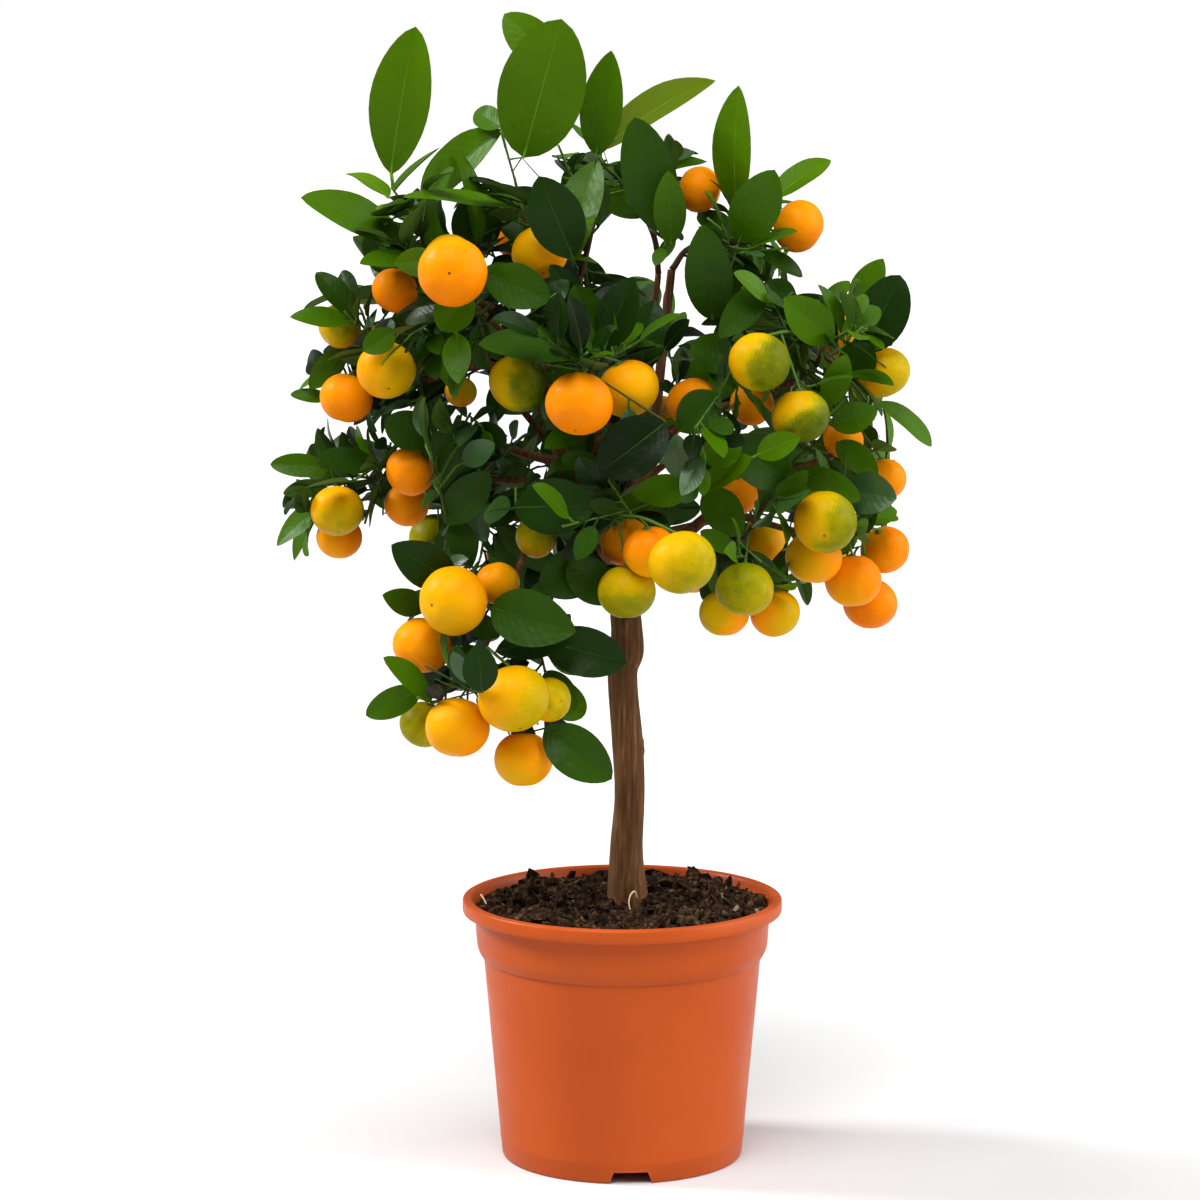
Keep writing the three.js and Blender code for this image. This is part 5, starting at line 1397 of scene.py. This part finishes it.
def trunk_mesh():
    rows = np.array([*FLARE, *TRUNK], float)
    levels = np.arange(rows[0, 0], rows[-1, 0], BARK_STEP)
    fine = np.array([curve_point(rows, t) for t in np.linspace(0, 1, 400)])
    fine = fine[np.argsort(fine[:, 0])]
    x, y, thick = (np.interp(levels, fine[:, 0], column) for column in fine.T[1:])
    angles = turns(BARK_SIDES)
    buttress = np.clip((ROOT_TOP - levels) / ROOT_FADE, 0, 1)[:, None] ** 2
    radii = thick[:, None] / 2 + bark_relief(angles, levels, thick, 3)
    radii = radii * (1 + 0.045 * buttress * np.cos(5 * angles + 0.6))
    vertices, faces = tube(np.stack([x, y, levels], -1), radii, BARK_SIDES)
    turn = np.tile(np.arange(BARK_SIDES) / BARK_SIDES, len(levels))
    rise = np.repeat((levels - levels[0]) / (levels[-1] - levels[0]), BARK_SIDES)
    bunch = Bunch()
    bunch.add(dent_and_stub(vertices), faces, uvs=np.vstack([np.stack([turn, rise], -1), [(0, 0), (0, 1)]]))
    return bunch


def dent_and_stub(vertices):
    """A small scar on the right and the raised collar of a twig that was cut off in front."""
    scar = np.linalg.norm((vertices - vec(*SCAR_PLACE)) / vec(3.2, 4, 3.6), axis=1)
    stub = np.linalg.norm((vertices - vec(*STUB_PLACE)) / vec(3.4, 4, 4.4), axis=1)
    axis = vertices * vec(1, 1, 0) - vec(2.5, 0, 0)
    away = axis / np.maximum(np.linalg.norm(axis, axis=1), 1e-6)[:, None]
    push = 1.7 * np.exp(-stub ** 2) + 0.9 * np.exp(-((scar - 1) * 2.2) ** 2) - 1.6 * np.exp(-scar ** 2 * 2)
    return vertices + away * push[:, None]


def bough_mesh(boughs):
    bunch = Bunch()
    for number, limb in enumerate(boughs):
        path = smooth_path(limb.bends, BOUGH_STEP)
        steps = np.arange(len(path))
        thick = np.linspace(limb.radii[0], limb.radii[-1], len(path)) * 2
        flare = 1 + 0.22 * np.exp(-steps / 2.5)
        sides = BOUGH_SIDES[0 if thick[0] > THICK_BOUGH else 1]
        relief = bark_relief(turns(sides), steps * BOUGH_STEP, thick, 11 + number) * 0.8
        bunch.add(*tube(path, (thick / 2 * flare)[:, None] + relief, sides))
    return bunch


def bark_material():
    shader = Shader("bark", rgb("#6a4a2c"), 0.82, 0.15)
    streak = shader.noise(560, 6, (1, 1, 0.06))
    colour = shader.ramp(streak, [(0.3, "#452d17"), (0.44, "#583b21"), (0.6, "#6c4a2b"), (0.74, "#8a6743")])
    tint = shader.ramp(shader.noise(42, 3, (1, 1, 0.45)), [(0.35, "#dccdb8"), (0.65, "#ffffff")])
    inputs = {"Factor": 0.8, "A": colour, "B": tint}
    mixed = shader.node("ShaderNodeMix", inputs, "Result", data_type="RGBA", blend_type="MULTIPLY")
    shader.paint(mixed)
    shader.vary_roughness(streak, 0.7, 0.92)
    shader.bump(streak, 0.4, 0.0006)
    return shader.material


# ---------------------------------------------------------------- pot

POT_SIDES = 192
HOLE_SIDES = 32


def body_radius(z):
    return FOOT_RADIUS + (BODY_TOP_RADIUS - FOOT_RADIUS) * z / BODY_TOP


def raised(radius, height, *steps):
    """Points of an outline, each so much further out and up than a corner of the pot."""
    return [(radius + out, height + up) for out, up in steps]


def pot_outline():
    floor = DRAIN_RECESS + FLOOR_THICK
    ring = FOOT_RADIUS - FOOT_RING_WIDTH
    foot = [(1.8, 0), (11.2, 0), (12.2, 0.314), (13.6, 0.082), (40, 0), (80, 0), (BODY_TOP - 2, 0)]
    return [
        *raised(CENTRE_PAD_RADIUS, 0, (-0.8, 0), (0, 0.8), (2, DRAIN_RECESS)),
        *raised(ring, 0, (0, DRAIN_RECESS), (1, 0.7), (1.7, 0)),
        *raised(FOOT_RADIUS, 0, (-1.4, 0), (-0.4, 0.5)),
        *[(body_radius(z) + out, z) for z, out in foot],
        *raised(BODY_TOP_RADIUS, BODY_TOP, (-0.15, -0.3), (0.75, -0.2), (1.2, 0.5), (2.3, 2.3)),
        *raised(COLLAR_FOOT_RADIUS, COLLAR_BOTTOM, (-0.75, 1), (-0.1, 3), (0.3, 6)),
        *raised(COLLAR_RADIUS, LIP_BOTTOM, (0, -2), (0.5, -0.6), (1.8, -0.2)),
        *raised(RIM_RADIUS, LIP_BOTTOM, (-1.4, 0), (-0.5, 0.5), (-0.1, 1.6), (0, 3)),
        *raised(RIM_RADIUS, POT_HEIGHT, (-0.1, -1.5), (-0.5, -0.6), (-1.4, -0.1), (-2.6, 0)),
        *raised(MOUTH_RADIUS, POT_HEIGHT, (2, -0.1), (0.9, -0.5), (0.2, -1.6), (-0.3, -4)),
        (COLLAR_RADIUS - WALL, LIP_BOTTOM),
        (BODY_TOP_RADIUS - WALL, BODY_TOP),
        (body_radius(floor) - WALL, floor),
    ]


def notch(angle):
    """The block that a notch takes out of the pot's foot."""
    out = vec(math.cos(angle), math.sin(angle), 0)
    side = vec(-math.sin(angle), math.cos(angle), 0)
    corners = [
        out * depth + side * (sign * width / 2) + vec(0, 0, z)
        for depth in (FOOT_RADIUS - FOOT_RING_WIDTH - 2, FOOT_RADIUS + 6)
        for width, z in ((NOTCH_BOTTOM_WIDTH, -1), (NOTCH_TOP_WIDTH, NOTCH_HEIGHT))
        for sign in (-1, 1)
    ]
    faces = [(0, 2, 3, 1), (4, 5, 7, 6), (0, 1, 5, 4), (2, 6, 7, 3), (0, 4, 6, 2), (1, 3, 7, 5)]
    return np.array(corners), (np.array(faces),)


def make_pot(material):
    bunch, cuts = Bunch(), Bunch()
    outline = pot_outline()
    bunch.add(*capped(turned(outline, POT_SIDES), (0, 0, 0), (0, 0, outline[-1][1])))
    for i in range(NOTCHES):
        cuts.add(*notch(math.radians(NOTCH_TURN - 90 + i * 360 / NOTCHES)))
    for i in range(DRAIN_HOLES):
        angle = math.radians(-90 + i * 360 / DRAIN_HOLES)
        centre = vec(math.cos(angle), math.sin(angle), 0) * DRAIN_CIRCLE
        path = np.array([centre + vec(0, 0, 3), centre + vec(0, 0, 14)])
        cuts.add(*tube(path, [DRAIN_RADIUS, DRAIN_RADIUS], HOLE_SIDES))
    pot = bunch.make("pot_shell", [material])
    change = pot.modifiers.new("cut", "BOOLEAN")
    change.solver = "EXACT"
    change.object = cuts.make("pot_cutter", [material])
    shaped = pot.evaluated_get(bpy.context.evaluated_depsgraph_get())
    mesh = bpy.data.meshes.new_from_object(shaped)
    bpy.data.objects.remove(change.object)
    pot.modifiers.clear()
    pot.data = mesh
    mesh.shade_smooth()
    mesh.set_sharp_from_angle(angle=math.radians(38))
    return pot


def pot_material():
    shader = Shader("pot_plastic", rgb("#ad460c"), 0.42, 0.18)
    shader.paint(shader.ramp(shader.noise(14, 4), [(0.35, "#aa440a"), (0.65, "#b1490f")]))
    shader.vary_roughness(shader.noise(55, 4), 0.36, 0.48)
    shader.bump(shader.noise(700, 3), 0.06, 0.0003)
    shader.bump(shader.noise(9, 1), 0.08, 0.002)
    return shader.material


# ---------------------------------------------------------------- soil

SOIL_RINGS = 84
SOIL_TURNS = 216
SOIL_WALL_GAP = 0.5
SOIL_FLOOR = 9.2
SOIL_FLOOR_RADIUS = 73.8
SOIL_STEP = 152  # where the pot's collar narrows
CLODS = 2400
CLODS_REACH = 88
BARE_RING = 13  # round the trunk
CHIPS = 0.55  # of the crumbs are flat
CHIP_FLATNESS = 0.35
CLOD_FLATNESS = 0.8
CLOD_SIZES = [0.9, 1.7, 3.1, 5.2, 7.0]
CLOD_SHARES = [0.4, 0.3, 0.17, 0.09, 0.04]
CRUMB_SHARES = [0.56, 0.26, 0.13, 0.05]
CLOD_FACES = np.array([
    (0, 11, 5), (0, 5, 1), (0, 1, 7), (0, 7, 10), (0, 10, 11), (1, 5, 9), (5, 11, 4), (11, 10, 2), (10, 7, 6),
    (7, 1, 8), (3, 9, 4), (3, 4, 2), (3, 2, 6), (3, 6, 8), (3, 8, 9), (4, 9, 5), (2, 4, 11), (6, 2, 10),
    (8, 6, 7), (9, 8, 1),
])
FIBRES = (
    ((9, -15, 166), (7.5, -19, 171), (4.6, -25, 169), (4.2, -30, 164), (7.5, -36, 157)),
    ((-88, -14, 168), (-85, -19, 164), (-82, -25, 157)),
)


def soil_height(x, y):
    """The lumpy surface of the soil, highest round the trunk."""
    away = np.hypot(x, y)
    base = SOIL_MIDDLE - (SOIL_MIDDLE - SOIL_EDGE) * np.clip((away - 18) / 70, 0, 1)
    base = base + 0.8 * np.clip((y - 20) / 60, 0, 1)
    place = np.stack([x, y, 0 * x], -1)
    lumps = 2.8 * noise(place * 0.06 + 5, 1) + 4.0 * noise(place * 0.13 + 9, 2)
    crumbs = 1.7 * noise(place * 0.33, 3) + 0.8 * noise(place * 0.8, 4)
    return base + (lumps + crumbs) * np.clip((94 - away) / 14, 0.3, 1)


def make_soil(materials):
    outer = MOUTH_RADIUS - 0.3 - SOIL_WALL_GAP
    top = turned([(radius, 0) for radius in np.linspace(0.5, outer, SOIL_RINGS)], SOIL_TURNS)
    flat = top.reshape(-1, 3)
    flat[:, 2] = soil_height(flat[:, 0], flat[:, 1])
    wall = WALL + SOIL_WALL_GAP
    side = [(COLLAR_RADIUS - wall, SOIL_STEP), (BODY_TOP_RADIUS - wall, BODY_TOP - 1)]
    rings = np.concatenate([top, turned([*side, (SOIL_FLOOR_RADIUS, SOIL_FLOOR)], SOIL_TURNS)])
    vertices, faces = capped(rings, (0, 0, SOIL_MIDDLE), (0, 0, SOIL_FLOOR), flip=True)
    bunch = Bunch()
    bunch.add(vertices, faces, uvs=vertices[:, :2] / 200 + 0.5)
    return bunch.make("soil_surface", materials)


def clod(rng, centre, size, flatness):
    """One crumb: a small uneven lump of twenty faces, or a chip when it is flat."""
    golden = (1 + 5 ** 0.5) / 2
    plane = np.array([(x, y, 0) for y in (golden, -golden) for x in (-1, 1)])
    corners = np.vstack([np.roll(plane, k, axis=1) for k in range(3)]) / 1.9
    corners = corners * rng.uniform(0.7, 1.25, (12, 1))
    corners = corners * (size * rng.uniform(0.8, 1.7), size * rng.uniform(0.6, 1), size * flatness)
    tilt = np.linalg.qr(rng.normal(size=(3, 3)))[0]
    if np.linalg.det(tilt) < 0:
        tilt[:, 0] *= -1
    return centre + corners @ tilt.T, (CLOD_FACES,)


def make_clods(materials):
    rng = np.random.default_rng(7)
    bunch = Bunch()
    for _ in range(CLODS):
        away = CLODS_REACH * math.sqrt(rng.uniform(0.02, 0.98))
        turn = rng.uniform(0, 2 * math.pi)
        x, y = away * math.cos(turn), away * math.sin(turn)
        if math.hypot(x - 3, y) < BARE_RING:
            continue
        size = float(rng.choice(CLOD_SIZES, p=CLOD_SHARES))
        flatness = CHIP_FLATNESS if rng.uniform() < CHIPS else CLOD_FLATNESS
        z = soil_height(np.array([x]), np.array([y]))[0] + size * 0.2
        vertices, faces = clod(rng, vec(x, y, z), size, flatness)
        slot = int(rng.choice(4, p=CRUMB_SHARES)) if size < 4 else 0
        bunch.add(vertices, faces, (slot,))
    made = bunch.make("soil_crumbs", materials)
    made.data.set_sharp_from_angle(angle=math.radians(50))
    return made


def make_fibres(material):
    bunch = Bunch()
    for points in FIBRES:
        path = smooth_path(np.array(points, float), 1.2)
        bunch.add(*tube(path, np.linspace(0.62, 0.3, len(path)), 6))
    return bunch.make("root_fibres", [material])


def soil_material():
    shader = Shader("soil_peat", rgb("#23170d"), 0.95, 0.1)
    speck_and_hollow_shade = shader.noise(300, 6)
    # The colour follows the bump's height: lighter and darker specks of peat, and near black in the hollows
    # as painted shade.
    colour = shader.ramp(speck_and_hollow_shade, [(0.34, "#0d0704"), (0.5, "#2a1b10"), (0.62, "#46311d"), (0.74, "#77593a")])
    shader.paint(colour)
    shader.bump(speck_and_hollow_shade, 0.9, 0.0015)
    return shader.material


# ---------------------------------------------------------------- stage and light


def make_stage():
    half = 40
    data = bpy.data.meshes.new("floor")
    corners = [(-half, -half, 0), (half, -half, 0), (half, half, 0), (-half, half, 0)]
    data.from_pydata(corners, [], [(0, 1, 2, 3)])
    shader = Shader("floor_white", rgb("#cacaca"), 0.9, 0.0)
    shader.vary_roughness(shader.noise(4), 0.86, 0.94)
    data.materials.append(shader.material)
    add_object("floor", data)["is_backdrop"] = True


def sun_light(name, place, strength, softness):
    """A sun at a place in metres that shines on the origin."""
    data = bpy.data.lights.new(name, "SUN")
    data.energy = strength
    data.angle = math.radians(softness)
    x, y, z = place
    lamp = add_object(name, data)
    lamp.location = place
    lamp.rotation_euler = (math.atan2(math.hypot(x, y), z), 0, math.atan2(-y, -x) - math.pi / 2)


def white_world():
    """A white backdrop that lights the plant more softly than it looks."""
    world = bpy.data.worlds.new("studio")
    world.use_nodes = True
    nodes = world.node_tree.nodes
    link = world.node_tree.links.new
    light, seen = nodes["Background"], nodes.new("ShaderNodeBackground")
    for node in (light, seen):
        node.inputs["Color"].default_value = (1, 1, 1, 1)
    light.inputs["Strength"].default_value = WORLD_LIGHT
    mix = nodes.new("ShaderNodeMixShader")
    link(nodes.new("ShaderNodeLightPath").outputs["Is Camera Ray"], mix.inputs[0])
    link(light.outputs[0], mix.inputs[1])
    link(seen.outputs[0], mix.inputs[2])
    link(mix.outputs[0], nodes["World Output"].inputs["Surface"])
    bpy.context.scene.world = world


def make_light():
    view = bpy.context.scene.view_settings
    view.view_transform = "Standard"
    view.look = "None"
    white_world()
    sun_light("top", (-0.2, -0.8, 1.5), 2.9, 40)
    sun_light("left", (-1.6, 0.3, 1.2), 3.3, 16)
    sun_light("right", (1.6, -0.1, 0.75), 3.3, 64)


# ---------------------------------------------------------------- everything in place


def dress(thing, slot, *nodes):
    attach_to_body(thing, "root")
    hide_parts(*nodes)


def dress_masses(growths):
    leaf_slots = [
        *(leaf_material(f"leaf_{i}", tone, 0.3, 0.42, LEAF_GLOSS[i]) for i, tone in enumerate(LEAF_TONES)),
        *(leaf_material(f"leaf_under_{i}", tone, 0.5, 0.66, 0.08) for i, tone in enumerate(UNDER_TONES)),
        *(plain_material(f"leaf_rib_{i}", tone, 0.5, 500, 0.1) for i, tone in enumerate(RIB_TONES)),
    ]
    twig_slots = [
        plain_material("twig_brown", "#4d3a28", 0.78, 420, 0.4),
        plain_material("twig_olive", "#3f4a20", 0.62, 420, 0.3),
        plain_material("twig_green", "#4b6a22", 0.5, 420, 0.2),
    ]
    peel_slots = [
        *(peel_material(step) for step in range(PEEL_STEPS)),
        plain_material("peel_end", "#6e4310", 0.8, 900, 0.3),
        plain_material("calyx", "#4f6322", 0.6, 500, 0.3),
    ]
    rng = np.random.default_rng(42)
    for growth in growths:
        part = growth.row.name
        leaves, twigs, fruit = Bunch(), Bunch(), Bunch()
        add_leaves(leaves, growth.leaves, rng)
        for number, twig in enumerate(growth.twigs):
            add_twig_mesh(twigs, twig, number + 1)
        for number, ball in enumerate(growth.fruits):
            add_fruit(fruit, ball, growth.mass * 10 + number + 1)
        dress(leaves.make(f"leaves_{part}", leaf_slots), "foliage", f"foliage_{part}")
        dress(twigs.make(f"twigs_{part}", twig_slots), "bark", f"foliage_{part}")
        dress(fruit.make(f"fruit_{part}", peel_slots), "foliage", f"foliage_{part}")


def dress_wood(limbs):
    bark = bark_material()
    dress(trunk_mesh().make("trunk_bark", [bark], "OFBake"), "bark", "trunk")
    boughs = {f"bough_{name}": limb for name, limb in limbs.items() if name != "trunk"}
    dress(bough_mesh(boughs.values()).make("boughs_bark", [bark]), "bark", *boughs)


def dress_pot():
    dress(make_pot(pot_material()), "pot", "pot")
    peat = soil_material()
    crumbs = [
        peat,
        plain_material("crumb_bark", "#3a2716", 0.9, 600, 0.6),
        plain_material("crumb_chip", "#5c4630", 0.88, 600, 0.6),
        plain_material("crumb_pale", "#8c7d66", 0.86, 600, 0.5),
    ]
    dress(make_soil([peat]), "soil", "soil")
    dress(make_clods(crumbs), "soil", "soil")
    dress(make_fibres(plain_material("root_fibre", "#cdb48c", 0.7, 500, 0.2)), "bark", "soil")


limbs, growths = grow_tree()
dress_masses(growths)
dress_wood(limbs)
dress_pot()
make_stage()
make_light()

VISUAL_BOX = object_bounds()
boxes = {"cad": CAD_BOX, "visual": VISUAL_BOX}
{key: [[float(v) for v in corner] for corner in box] for key, box in boxes.items()}
